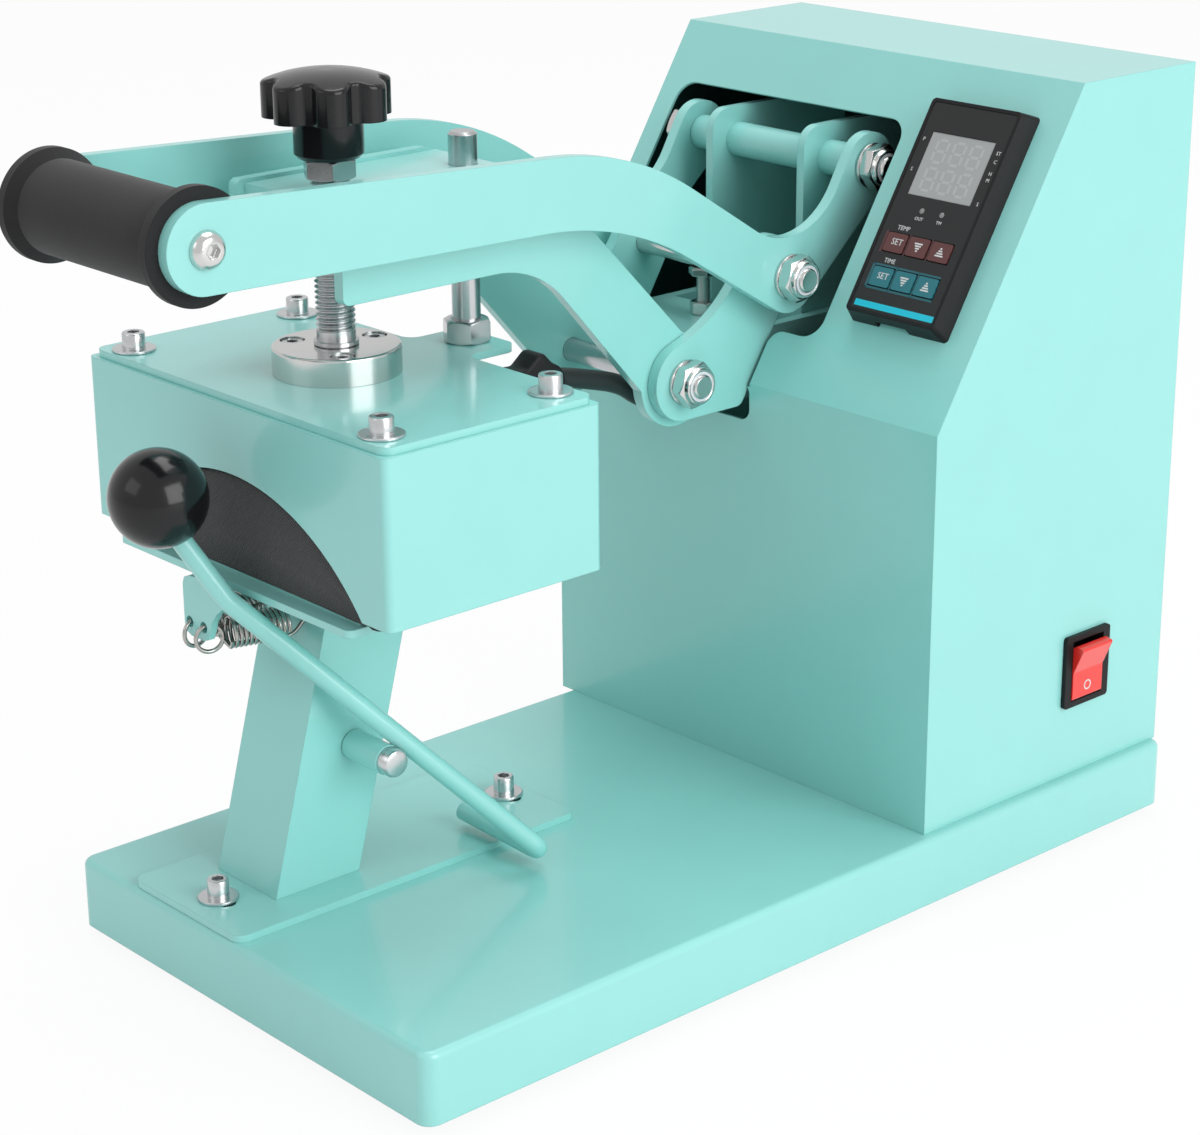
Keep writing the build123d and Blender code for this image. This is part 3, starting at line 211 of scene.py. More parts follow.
# %% [markdown]
# ## Finishes
# Every finish starts from one plain shader. A Bevel node rounds the shading of the sharp
# sheet-metal edges by half a millimetre, as paint and plating do, and a fine noise drives
# the bump. The noise reads Object coordinates in metres, so a scale of 1000 has
# grains about a millimetre across.

# %% A finish
EDGE = 0.5 * MM
TINT = 0.25
BUMP_HEIGHT = 0.1 * MM
CLOUD_SCALE = 35


def finish(name, colour, rough, metal=0.0, grain=0.0, grain_scale=1500, mottle=0.0, edge=EDGE,
           **sockets):
    """A shader with rounded edges, fine bump, and slight changes of colour and roughness."""
    made = bpy.data.materials.new(name)
    made.use_nodes = True
    tree = made.node_tree
    shader = tree.nodes["Principled BSDF"]
    shader.inputs["Base Color"].default_value = (*colour, 1)
    shader.inputs["Metallic"].default_value = metal
    for socket, value in sockets.items():
        shader.inputs[socket.replace("_", " ").title().replace("Ior", "IOR")].default_value = value
    where = tree.nodes.new("ShaderNodeTexCoord")
    round_edge = tree.nodes.new("ShaderNodeBevel")
    round_edge.samples = 4
    round_edge.inputs["Radius"].default_value = edge
    noise = tree.nodes.new("ShaderNodeTexNoise")
    noise.inputs["Scale"].default_value = grain_scale
    noise.inputs["Detail"].default_value = 3
    tree.links.new(where.outputs["Object"], noise.inputs["Vector"])
    bump = tree.nodes.new("ShaderNodeBump")
    bump.inputs["Strength"].default_value = grain
    bump.inputs["Distance"].default_value = BUMP_HEIGHT
    tree.links.new(noise.outputs["Fac"], bump.inputs["Height"])
    tree.links.new(round_edge.outputs[0], bump.inputs["Normal"])
    tree.links.new(bump.outputs[0], shader.inputs["Normal"])
    cloud = tree.nodes.new("ShaderNodeTexNoise")
    cloud.inputs["Scale"].default_value = CLOUD_SCALE
    cloud.inputs["Detail"].default_value = 5
    tree.links.new(where.outputs["Object"], cloud.inputs["Vector"])
    spread = tree.nodes.new("ShaderNodeMapRange")
    spread.inputs["To Min"].default_value = rough * (1 - mottle)
    spread.inputs["To Max"].default_value = rough * (1 + mottle)
    tree.links.new(cloud.outputs["Fac"], spread.inputs["Value"])
    tree.links.new(spread.outputs[0], shader.inputs["Roughness"])
    pale, deep = [(*[min(1, c * (1 + sign * TINT * mottle)) for c in colour], 1) for sign in (1, -1)]
    tint = mix_colours(tree, cloud.outputs["Fac"], deep, pale)
    tree.links.new(tint, shader.inputs["Base Color"])
    return made


# %% [markdown]
# The body is powder coated in mint: a thick, slightly orange-peeled satin skin. Screws are
# bright zinc, the pivots' nuts are nickel, and the grip and cushion are matt and dark.

# %% The finishes of the press
MINT = (0.272, 0.645, 0.612)
mint_paint = finish("mint_powder_coat", MINT, 0.36, grain=0.16, grain_scale=1300, mottle=0.12,
                    coat_weight=0.6, coat_roughness=0.12)
zinc = finish("bright_zinc", (0.62, 0.63, 0.64), 0.27, 1.0, grain=0.12, grain_scale=2500, mottle=0.35)
nickel = finish("nickel_plate", (0.66, 0.66, 0.65), 0.17, 1.0, grain=0.05, grain_scale=2500,
                mottle=0.3)
bar_steel = finish("ground_bar", (0.52, 0.53, 0.54), 0.22, 1.0, grain=0.1, grain_scale=3000,
                   mottle=0.25)
spring_steel = finish("spring_wire", (0.44, 0.43, 0.41), 0.24, 1.0, grain=0.05, mottle=0.3,
                      edge=0.1 * MM)
foam = finish("grip_foam", (0.008, 0.008, 0.009), 0.93, grain=0.9, grain_scale=1900, mottle=0.05,
              sheen_weight=0.15, sheen_roughness=0.5)
gloss_black = finish("moulded_black", (0.006, 0.006, 0.007), 0.2, grain=0.03, mottle=0.1,
                     specular_ior_level=0.3, coat_weight=0.2, coat_roughness=0.06)
case_black = finish("case_black", (0.010, 0.010, 0.011), 0.42, grain=0.35, grain_scale=3500,
                    mottle=0.1, specular_ior_level=0.2)
face_film = finish("face_film", (0.018, 0.018, 0.019), 0.38, grain=0.1, grain_scale=4000, mottle=0.1,
                   specular_ior_level=0.3)
display_grey = finish("display_grey", (0.34, 0.35, 0.35), 0.3, mottle=0.06, coat_weight=0.4,
                      coat_roughness=0.1)
rubber = finish("foot_rubber", (0.018, 0.018, 0.018), 0.8, grain=0.5, grain_scale=1500, mottle=0.1)
cable_skin = finish("cable_skin", (0.014, 0.014, 0.015), 0.45, grain=0.2, grain_scale=1200,
                    mottle=0.15)
cast_alu = finish("cast_aluminium", (0.60, 0.60, 0.61), 0.42, 1.0, grain=0.5, grain_scale=700,
                  mottle=0.25)
lit_red = finish("rocker_red", (0.80, 0.028, 0.02), 0.22, mottle=0.08, coat_weight=0.5,
                 coat_roughness=0.1, subsurface_weight=0.35, subsurface_scale=2 * MM)
print_white = finish("print_white", (0.62, 0.63, 0.63), 0.5, grain=0.05, mottle=0.05, edge=0)
print_cyan = finish("print_cyan", (0.002, 0.50, 0.66), 0.4, grain=0.05, mottle=0.05, edge=0)
print("finishes", len(bpy.data.materials))


# %% [markdown]
# Three finishes need more than a noise. The key strips are printed with fine slanting lines,
# the cushion is a woven cloth under a coat of silicone, and the inside of the tower gets painted
# shade.

# %% Ruled key print
LINE_SLANT = math.radians(35)
LINE_SCALE = 420


def ruled(name, colour, dark):
    made = finish(name, colour, 0.4, grain=0.05, mottle=0.05, edge=0)
    tree = made.node_tree
    shader = tree.nodes["Principled BSDF"]
    where = tree.nodes.new("ShaderNodeTexCoord")
    turn = tree.nodes.new("ShaderNodeMapping")
    turn.inputs["Rotation"].default_value = (0, 0, LINE_SLANT)
    lines = tree.nodes.new("ShaderNodeTexWave")
    lines.inputs["Scale"].default_value = LINE_SCALE
    tree.links.new(where.outputs["Object"], turn.inputs["Vector"])
    tree.links.new(turn.outputs[0], lines.inputs["Vector"])
    two = mix_colours(tree, lines.outputs["Fac"], (*dark, 1), (*colour, 1))
    tree.links.new(two, shader.inputs["Base Color"])
    return made


key_red = ruled("key_red", (0.13, 0.035, 0.035), (0.07, 0.018, 0.018))
key_teal = ruled("key_teal", (0.012, 0.20, 0.24), (0.006, 0.10, 0.13))


# %% Woven cushion cloth
def woven(name, colour, pitch):
    """Over-and-under threads along X, and along the run of the surface (Y plus Z)."""
    made = finish(name, colour, 0.8, grain=0.25, grain_scale=2500, mottle=0.2, edge=1 * MM,
                  sheen_weight=0.15, sheen_roughness=0.5)
    tree = made.node_tree
    where = tree.nodes.new("ShaderNodeTexCoord")
    split = tree.nodes.new("ShaderNodeSeparateXYZ")
    tree.links.new(where.outputs["Object"], split.inputs[0])
    run = calculate(tree, "ADD", split.outputs["Y"], split.outputs["Z"])
    threads = []
    for source in (split.outputs["X"], run):
        count = calculate(tree, "MULTIPLY", source, 2 * math.pi / pitch)
        threads.append(calculate(tree, "SINE", count))
    over = calculate(tree, "MULTIPLY", *threads)
    weave_bump = tree.nodes.new("ShaderNodeBump")
    weave_bump.inputs["Strength"].default_value = 0.9
    weave_bump.inputs["Distance"].default_value = 0.25 * MM
    tree.links.new(over, weave_bump.inputs["Height"])
    tree.links.new(tree.nodes["Bump"].outputs[0], weave_bump.inputs["Normal"])
    tree.links.new(weave_bump.outputs[0], tree.nodes["Principled BSDF"].inputs["Normal"])
    return made


pad_cloth = woven("cushion_cloth", (0.034, 0.034, 0.036), 1.35 * MM)


# %% Tower paint, with painted shade inside
# The tower's front leans back: its rise and run over a unit of slope, and where it starts.
RISE, RUN, KNEE_H = 0.8472, 0.5312, 201


def paint_with_inside_shade(name, colour):
    """The mint paint, with painted shade: nearly black wherever a point lies inside the folded sheet.
    """
    made = finish(name, MINT, 0.36, grain=0.16, grain_scale=1300, mottle=0.12, coat_weight=0.6,
                  coat_roughness=0.12)
    tree = made.node_tree
    shader = tree.nodes["Principled BSDF"]
    low, high = (Vector(corner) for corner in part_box("tower_shell"))
    gap = 1.1 * MM
    where = tree.nodes.new("ShaderNodeTexCoord")
    split = tree.nodes.new("ShaderNodeSeparateXYZ")
    tree.links.new(where.outputs["Object"], split.inputs[0])
    slope = tree.nodes.new("ShaderNodeVectorMath")
    slope.operation = "DOT_PRODUCT"
    slope.inputs[1].default_value = (0, RISE, -RUN)
    tree.links.new(where.outputs["Object"], slope.inputs[0])
    knee = RISE * low.y - RUN * KNEE_H * MM
    tests = [("X", "GREATER_THAN", low.x + gap), ("X", "LESS_THAN", high.x - gap),
             ("Y", "GREATER_THAN", low.y + gap), ("Y", "LESS_THAN", high.y - gap),
             ("Z", "LESS_THAN", high.z - gap)]
    inside = calculate(tree, "GREATER_THAN", slope.outputs["Value"], knee + gap)
    for axis, way, limit in tests:
        inside = calculate(tree, "MULTIPLY", inside, calculate(tree, way, split.outputs[axis], limit))
    # Painted shade: points inside the folded sheet take a nearly black colour that stands for the
    # dark interior of the tower.
    outer = shader.inputs["Base Color"].links[0].from_socket
    tree.links.new(mix_colours(tree, inside, outer, (*colour, 1)), shader.inputs["Base Color"])
    return made


# The tower's mint paint, with painted shade inside the sheet.
shell_paint_and_shade = paint_with_inside_shade("mint_shell_shaded_inside", (0.012, 0.045, 0.042))

# %% [markdown]
# ## Painting the solids
# Most solids already have the right form, so they stay and only take a finish. The list goes
# by finish, which makes it easy to see what is painted and what is bare.

# %% Finishes on the solids
painted = {
    mint_paint: ["base_pan", "frame_plate_left", "frame_plate_right", "handle_arm_left",
                 "handle_arm_right", "head_arm_left", "head_arm_right", "arm_plate", "arm_web",
                 "link_left", "link_right", "head_cover", "head_top_plate", "stand_column",
                 "foot_plate", "lever_rod", "handle_pivot_spacers", "arm_pivot_spacer",
                 "link_pivot_spacers", "platen"],
    shell_paint_and_shade: ["tower_shell"],
    zinc: ["head_bolts", "foot_bolts", "collar_bolts", "lever_bolt", "limit_screw", "arm_pivot_bolt",
           "screw_nut", "pressure_screw", "knuckle_shaft"],
    nickel: ["screw_collar", "handle_pivot_bolt", "link_pivot_bolt", "knuckle_ends", "grip_bolts"],
    bar_steel: ["guide_rod", "grip_rod"],
    spring_steel: ["spring_left", "spring_right"],
    foam: ["handle_grip"],
    gloss_black: ["pressure_knob", "lever_ball"],
    case_black: ["controller_case", "switch_bezel", "mains_inlet", "cable_boot"],
    face_film: ["controller_face"],
    display_grey: ["controller_lcd"],
    rubber: ["rubber_feet"],
    cable_skin: ["heater_cable"],
    cast_alu: ["heater_block"],
    lit_red: ["switch_rocker"],
    key_red: ["temp_set_key", "temp_down_key", "temp_up_key"],
    key_teal: ["time_set_key", "time_down_key", "time_up_key"],
    pad_cloth: ["platen_pad"],
}
for made, names in painted.items():
    for name in names:
        mesh = nodes[name].data
        mesh.materials.clear()
        mesh.materials.append(made)
print("painted", sum(len(names) for names in painted.values()), "of", len(nodes))

# %% [markdown]
# ## Places and turned work
# Sizes of the press are known in millimetres across from its middle, back from the front edge
# of the base, and up from its underside, so one helper turns those into a place. Nuts, washers
# and screws are lathe work: a profile is spun round the Z axis, which gives clean rings of
# faces, and the finished turning is then stood on its own axis.

# %% Places
FRONT = 192.25
FOOT = 5.0
UP = (0, 0, 1)
ALONG = (1, 0, 0)
ORIGIN = Vector((0, 0, 0))
SCREW_D, GUIDE_D, LIMIT_D = 84, 147, 274.6
HEAD_TOP = 224.4
LEVER_PIN = (70.5, 85.2)
KNUCKLE = (227.0, 203.0)
GRIP = (-7.0, 297.5)


def spot(across, depth, height):
    return Vector((press_x + across * MM, (depth - FRONT) * MM, (height + FOOT) * MM))


# %% Turning
def turned(profile, steps=48, ring=False):
    """Spin (radius, height) pairs round Z; a ring's profile closes on itself."""
    bm = bmesh.new()
    points = [bm.verts.new((r * MM, 0, h * MM)) for r, h in profile]
    pairs = list(zip(points, points[1:]))
    if ring:
        pairs.append((points[-1], points[0]))
    edges = [bm.edges.new(pair) for pair in pairs]
    bmesh.ops.spin(bm, geom=points + edges, cent=ORIGIN, axis=UP, dvec=ORIGIN,
                   angle=2 * math.pi, steps=steps, use_merge=True)
    bmesh.ops.remove_doubles(bm, verts=bm.verts, dist=1e-7)
    bmesh.ops.recalc_face_normals(bm, faces=bm.faces)
    return bm


def corners_of(geom):
    return [v for v in geom if isinstance(v, bmesh.types.BMVert)]


def edges_of(geom):
    return [e for e in geom if isinstance(e, bmesh.types.BMEdge)]


def pull(bm, faces, vec, **options):
    """Extrude a flat outline into a solid."""
    grown = bmesh.ops.extrude_face_region(bm, geom=faces, **options)["geom"]
    bmesh.ops.translate(bm, verts=corners_of(grown), vec=vec)
    bmesh.ops.recalc_face_normals(bm, faces=bm.faces)


def rod(radius, length, steps=24):
    """A plain round rod, standing on the origin."""
    return turned([(0, 0), (radius, 0), (radius, length), (0, length)], steps=steps)


def slice_off(bm, at, way):
    """Cut away what lies beyond a plane, and close the cut."""
    cut = bmesh.ops.bisect_plane(bm, geom=bm.verts[:] + bm.edges[:] + bm.faces[:], dist=1e-8,
                                 plane_co=at, plane_no=way, clear_outer=True)
    bmesh.ops.edgeloop_fill(bm, edges=edges_of(cut["geom_cut"]))


def cut_flats(bm, across, turn=0.0, count=6):
    """Mill flats on a turned blank: cut along planes round it and close each cut."""
    for i in range(count):
        angle = math.radians(turn + 360 * i / count)
        way = Vector((math.cos(angle), math.sin(angle), 0))
        slice_off(bm, way * across / 2 * MM, way)
    return bm


# %% Putting turnings together
def put(whole, part, at, way, slot=0):
    """Stand a turning on its axis at a place, and add it to the piece being made."""
    stand = Vector(UP).rotation_difference(Vector(way)).to_matrix().to_4x4()
    bmesh.ops.transform(part, matrix=Matrix.Translation(at) @ stand, verts=part.verts)
    for face in part.faces:
        face.material_index = slot
    holder = bpy.data.meshes.new("holder")
    part.to_mesh(holder)
    part.free()
    whole.from_mesh(holder)
    bpy.data.meshes.remove(holder)


def keep(whole, name, finishes, body=None, replaced=(), angle=32):
    """Turn a finished bmesh into a piece that rides on its body; a piece given no body is left
    unattached.
    """
    mesh = bpy.data.meshes.new(name)
    whole.to_mesh(mesh)
    whole.free()
    for made in finishes:
        mesh.materials.append(made)
    mesh.shade_smooth()
    mesh.set_sharp_from_angle(angle=math.radians(angle))
    piece = bpy.data.objects.new(name, mesh)
    scene.collection.objects.link(piece)
    if body:
        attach(piece, body)
    if replaced:
        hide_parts(*replaced)
    print(name, len(mesh.polygons), "faces")
    return piece


# %% [markdown]
# ## Pivot bolts
# Each pivot of the toggle is a long bolt with a washer at both ends and a locknut. A hexagon
# is easiest to get right as on the real part: turn the blank with its chamfers, then cut six
# flats, which leaves the curved arcs at the corners. The locknut ends in a rolled collar with
# a nylon ring, and the chamfered end of the bolt stands just proud of it.

# %% Nuts and heads
ACROSS = 17.0


def to_corner(across):
    """The radius of a hexagon's corners, from its size across flats."""
    return across / 2 / math.cos(math.radians(30))


CORNER = to_corner(ACROSS)
nylon = finish("nylon_ring", (0.62, 0.66, 0.70), 0.5, mottle=0.05, edge=0)


def washer(radius, thick, bore):
    return turned([(bore, 0), (radius - 0.3, 0), (radius, 0.3), (radius, thick - 0.3),
                   (radius - 0.3, thick), (bore, thick)], ring=True)


def hex_nut(across, thick, bore):
    corner = to_corner(across)
    face = across / 2 - 0.3
    drop = (corner - face) * math.tan(math.radians(30))
    blank = turned([(bore, 0.4), (bore + 0.4, 0), (face, 0), (corner, drop), (corner, thick - drop),
                    (face, thick), (bore + 0.4, thick), (bore, thick - 0.4)], ring=True)
    return cut_flats(blank, across)


def hex_head(across, thick):
    corner = to_corner(across)
    face = across / 2 - 0.3
    drop = (corner - face) * math.tan(math.radians(30))
    return cut_flats(turned([(0, 0), (face, 0), (face, 0.4), (corner, 0.4), (corner, thick - drop),
                             (face, thick), (0, thick)]), across)


def locknut(bore):
    blank = turned([(bore, 0), (8.2, 0), (CORNER, 0.93), (CORNER, 5.07), (8.2, 6.0), (7.9, 6.0),
                    (7.75, 7.1), (7.45, 7.7), (6.9, 8.0), (6.3, 7.9), (6.05, 7.5), (bore, 7.5)],
                   ring=True)
    return cut_flats(blank, ACROSS, turn=11)


# %% The long bolts
WASHER_R, WASHER_T, BORE = 9.3, 1.5, 5.05
NUT_AT = WASHER_T + 0.02
REACH = 10.72


def bolt_head(whole, face, depth, height):
    put(whole, washer(WASHER_R, WASHER_T, BORE), spot(-face - WASHER_T, depth, height), ALONG)
    put(whole, hex_head(ACROSS, 6.4), spot(-face - NUT_AT, depth, height), (-1, 0, 0))


def bolt_nut(whole, face, depth, height):
    put(whole, washer(WASHER_R, WASHER_T, BORE), spot(face, depth, height), ALONG)
    put(whole, locknut(BORE), spot(face + NUT_AT, depth, height), ALONG)
    put(whole, turned([(5.03, 7.0), (6.1, 7.0), (6.1, 7.75), (5.03, 7.75)], ring=True),
        spot(face + NUT_AT, depth, height), ALONG, slot=1)


def shank(whole, low, high, depth, height):
    length = high - low
    put(whole, turned([(0, 0), (5, 0), (5, length - 0.9), (4.75, length - 0.5), (4.2, length),
                       (0, length)]),
        spot(low, depth, height), ALONG)


def pivot_bolt(node, depth, height, body, made):
    face = (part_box(node)[1][0] - press_x) / MM - REACH
    whole = bmesh.new()
    shank(whole, -face - NUT_AT, face + REACH, depth, height)
    bolt_head(whole, face, depth, height)
    bolt_nut(whole, face, depth, height)
    return keep(whole, node + "_turned", [made, nylon], body, [node])


pivot_bolt("handle_pivot_bolt", 319.0, 279.4, "base", nickel)
pivot_bolt("arm_pivot_bolt", 330.0, 201.5, "base", zinc)
pivot_bolt("link_pivot_bolt", 273.4, 240.6, "handle", nickel)

# %% The knuckle's ends
LINK_IN = 34.5
LINK_OUT = 39.5
whole = bmesh.new()
for low, high in ((-LINK_OUT - NUT_AT, -LINK_IN), (LINK_IN, LINK_OUT + REACH)):
    shank(whole, low, high, *KNUCKLE)
bolt_head(whole, LINK_OUT, *KNUCKLE)
bolt_nut(whole, LINK_OUT, *KNUCKLE)
keep(whole, "knuckle_ends_turned", [nickel, nylon], "link", ["knuckle_ends"])

# %% [markdown]
# ## Socket screws
# The head is held down by socket screws. The round rim of the head and the six corners of
# its socket have different numbers of points, and bridging the two loops fills the ring
# between them; the socket is then pushed down and its floor closed.

# %% A socket screw
HEAD_STEPS = 36


def sink_socket(bm, lip, height, key, deep):
    """Close the top of a turned head with a ring that leads down into a hexagon socket."""
    rim = bmesh.ops.create_circle(bm, segments=HEAD_STEPS, radius=lip * MM)["verts"]
    hexagon = bmesh.ops.create_circle(bm, segments=6, radius=to_corner(key) * MM)["verts"]
    bmesh.ops.translate(bm, verts=rim + hexagon, vec=(0, 0, height * MM))
    loops = [list({e for v in group for e in v.link_edges}) for group in (rim, hexagon)]
    bmesh.ops.bridge_loops(bm, edges=loops[0] + loops[1])
    down = bmesh.ops.extrude_edge_only(bm, edges=loops[1])["geom"]
    bmesh.ops.translate(bm, verts=corners_of(down), vec=(0, 0, -deep * MM))
    bmesh.ops.edgeloop_fill(bm, edges=edges_of(down))
    bmesh.ops.remove_doubles(bm, verts=bm.verts, dist=1e-6)
    bmesh.ops.recalc_face_normals(bm, faces=bm.faces)
    return bm


def socket_screw(radius, height, key, deep):
    lip = radius - 0.7
    blank = turned([(0, 0), (radius, 0), (radius, height - 0.6), (radius - 0.25, height - 0.15),
                    (lip, height)], steps=HEAD_STEPS)
    return sink_socket(blank, lip, height, key, deep)


def button_screw(radius, height, key, deep):
    lip = radius * 0.56
    arc = [(radius, 0.5), (radius * 0.97, height * 0.33), (radius * 0.90, height * 0.58),
           (radius * 0.79, height * 0.80), (radius * 0.68, height * 0.94), (lip, height)]
    return sink_socket(turned([(0, 0), (radius, 0)] + arc, steps=HEAD_STEPS), lip, height, key, deep)


# %% Screws of the head, the collar and the foot plate
whole = bmesh.new()
for across in (-77.5, 77.5):
    for depth in (44.6, 122.6):
        put(whole, rod(2.5, 16), spot(across, depth, 209.9), UP)
        put(whole, washer(8.5, 1.2, 2.55), spot(across, depth, 227.4), UP)
        put(whole, socket_screw(4.5, 6.2, 4.4, 3), spot(across, depth, 228.6), UP)
keep(whole, "head_bolts_turned", [zinc], "head", ["head_bolts"])

COLLAR_R = 18
whole = bmesh.new()
for angle in (-30, 90, 210):
    way = math.radians(angle)
    across, depth = COLLAR_R * math.cos(way), SCREW_D + COLLAR_R * math.sin(way)
    put(whole, rod(2.5, 8), spot(across, depth, HEAD_TOP), UP)
    put(whole, socket_screw(4.5, 5.7, 4, 2.5), spot(across, depth, 231.8), UP)
keep(whole, "collar_bolts_turned", [zinc], "head", ["collar_bolts"])

whole = bmesh.new()
for depth in (16.0, 159.0):
    put(whole, rod(3, 4.4), spot(2.5, depth, 28.6), UP)
    put(whole, washer(7.9, 1.5, 3.05), spot(2.5, depth, 31.6), UP)
    put(whole, socket_screw(4.2, 7.0, 4.4, 3.4), spot(2.5, depth, 33.1), UP)
keep(whole, "foot_bolts_turned", [zinc], "base", ["foot_bolts"])

# %% [markdown]
# ## Threads
# A screw thread is one V-shaped ridge spun round the axis while it climbs by its pitch. Each
# turn ends where the next begins, so merging the doubles welds the turns into one skin, and
# cutting both ends square closes it.

# %% A threaded rod
def threaded(radius, pitch, length, steps=30):
    root = radius - 0.55 * pitch
    ridge = [(root, 0), (root, 0.12), (radius, 0.46), (radius, 0.58), (root, 0.92), (root, 1)]
    bm = bmesh.new()
    points = [bm.verts.new((r * MM, 0, (t - 1) * pitch * MM)) for r, t in ridge]
    edges = [bm.edges.new(pair) for pair in zip(points, points[1:])]
    turns = math.ceil(length / pitch) + 2
    bmesh.ops.spin(bm, geom=points + edges, cent=ORIGIN, axis=UP,
                   dvec=(0, 0, pitch * MM / steps), angle=2 * math.pi * turns, steps=steps * turns)
    bmesh.ops.remove_doubles(bm, verts=bm.verts, dist=2e-6)
    for level, way in ((0.0, -1), (length * MM, 1)):
        slice_off(bm, (0, 0, level), (0, 0, way))
    bmesh.ops.recalc_face_normals(bm, faces=bm.faces)
    return bm


# %% Pressure screw
whole = bmesh.new()
put(whole, turned([(0, 0), (10.2, 0), (10.2, 3.8), (7.5, 3.8), (7.5, 10.1), (8.5, 10.1), (8.5, 11.6),
                   (7.4, 11.6), (7.4, 15.6), (6.6, 16.2), (0, 16.2)]), spot(0, SCREW_D, 228.2), UP)
put(whole, threaded(7.5, 2.05, 82), spot(0, SCREW_D, 243.4), UP)
keep(whole, "pressure_screw_turned", [bar_steel], "press_screw", ["pressure_screw"], angle=20)

whole = bmesh.new()
put(whole, hex_nut(18, 7.7, 7.55), spot(0, SCREW_D, 300.8), UP)
keep(whole, "screw_nut_turned", [zinc], "press_screw", ["screw_nut"])

# %% Guide rod with its nut
whole = bmesh.new()
put(whole, turned([(0, 0), (5.6, 0), (5.6, 84.3), (4.6, 85.3), (0, 85.3)]),
    spot(0, GUIDE_D, HEAD_TOP), UP)
put(whole, hex_nut(17, 9, 5.6), spot(0, GUIDE_D, 227.4), UP)
keep(whole, "guide_rod_turned", [bar_steel], "head", ["guide_rod"])

# %% Limit screw with head and locknut
whole = bmesh.new()
put(whole, threaded(3.0, 1.0, 35.0, steps=20), spot(0, LIMIT_D, 198), UP)
put(whole, hex_head(11, 3.5), spot(0, LIMIT_D, 231.9), UP)
put(whole, hex_nut(10, 5.2, 3.0), spot(0, LIMIT_D, 215.5), UP)
keep(whole, "limit_screw_turned", [nickel], "head_arm", ["limit_screw"])

# %% Lever bolt
whole = bmesh.new()
put(whole, rod(4, 48.6, 32), spot(-26, *LEVER_PIN), ALONG)
put(whole, hex_nut(13, 7, 4.0), spot(-26, *LEVER_PIN), ALONG)
put(whole, turned([(0, 0), (5.6, 0), (5.6, 4.1), (5.2, 4.9), (4.4, 5.3), (0, 5.3)], steps=32),
    spot(41.1, *LEVER_PIN), ALONG)
put(whole, rod(4, 20, 32), spot(21.5, *LEVER_PIN), ALONG)
keep(whole, "lever_bolt_turned", [zinc], "base", ["lever_bolt"])

# %% [markdown]
# ## Springs
# A close-wound spring is the section of its wire, spun with a climb of a little more than one
# wire per turn. A ring at the lower end hangs in the ear of the lever, and a bent tail reaches
# the hole in the column; the tail is a short curve with a round bevel. The whole spring is one
# mesh that rides on no body.

# %% Wire shapes
WIRE = 0.85


def wire_section(radius, wire, corners):
    """The round section of a wire, standing at a distance from the axis."""
    bm = bmesh.new()
    section = bmesh.ops.create_circle(bm, segments=corners, radius=wire * MM)["verts"]
    bmesh.ops.rotate(bm, verts=section, cent=ORIGIN, matrix=Matrix.Rotation(math.pi / 2, 3, "X"))
    bmesh.ops.translate(bm, verts=section, vec=(radius * MM, 0, 0))
    return bm, section + bm.edges[:]


def wound(radius, wire, pitch, length, steps=20):
    bm, section = wire_section(radius, wire, 8)
    turns = round(length / pitch)
    bmesh.ops.spin(bm, geom=section, cent=ORIGIN, axis=UP, dvec=(0, 0, length * MM / turns / steps),
                   angle=2 * math.pi * turns, steps=steps * turns)
    ends = [e for e in bm.edges if e.is_boundary]
    bmesh.ops.holes_fill(bm, edges=ends, sides=8)
    bmesh.ops.recalc_face_normals(bm, faces=bm.faces)
    return bm


def hoop(radius, wire, steps=40):
    bm, section = wire_section(radius, wire, 10)
    bmesh.ops.spin(bm, geom=section, cent=ORIGIN, axis=UP, dvec=ORIGIN,
                   angle=2 * math.pi, steps=steps, use_merge=True)
    bmesh.ops.remove_doubles(bm, verts=bm.verts, dist=1e-7)
    bmesh.ops.recalc_face_normals(bm, faces=bm.faces)
    return bm


# %% Curves
def as_mesh(curve):
    """The mesh of a curve, which is then removed."""
    holder = bpy.data.objects.new("run", curve)
    scene.collection.objects.link(holder)
    bpy.context.view_layer.update()
    mesh = bpy.data.meshes.new_from_object(holder)
    bpy.data.objects.remove(holder)
    bpy.data.curves.remove(curve)
    return mesh


def run_along(points, thick=0.0, sides=2, kind="NURBS"):
    """A smooth line near a few points, or a straight-sided one through them, as a line or a tube."""
    curve = bpy.data.curves.new("run", "CURVE")
    curve.dimensions = "3D"
    curve.bevel_depth = thick
    curve.bevel_resolution = sides
    curve.use_fill_caps = thick > 0
    curve.resolution_u = 12
    spline = curve.splines.new(kind)
    spline.points.add(len(points) - 1)
    for held, point in zip(spline.points, points):
        held.co = (*point, 1)
    if kind == "NURBS":
        spline.order_u = 3
        spline.use_endpoint_u = True
    return as_mesh(curve)


def add_tube(whole, points, thick, sides=2, kind="NURBS"):
    mesh = run_along(points, thick, sides, kind)
    whole.from_mesh(mesh)
    bpy.data.meshes.remove(mesh)


# %% The two springs
COIL = 5.75
PITCH = 1.86
HOOP = 5.3


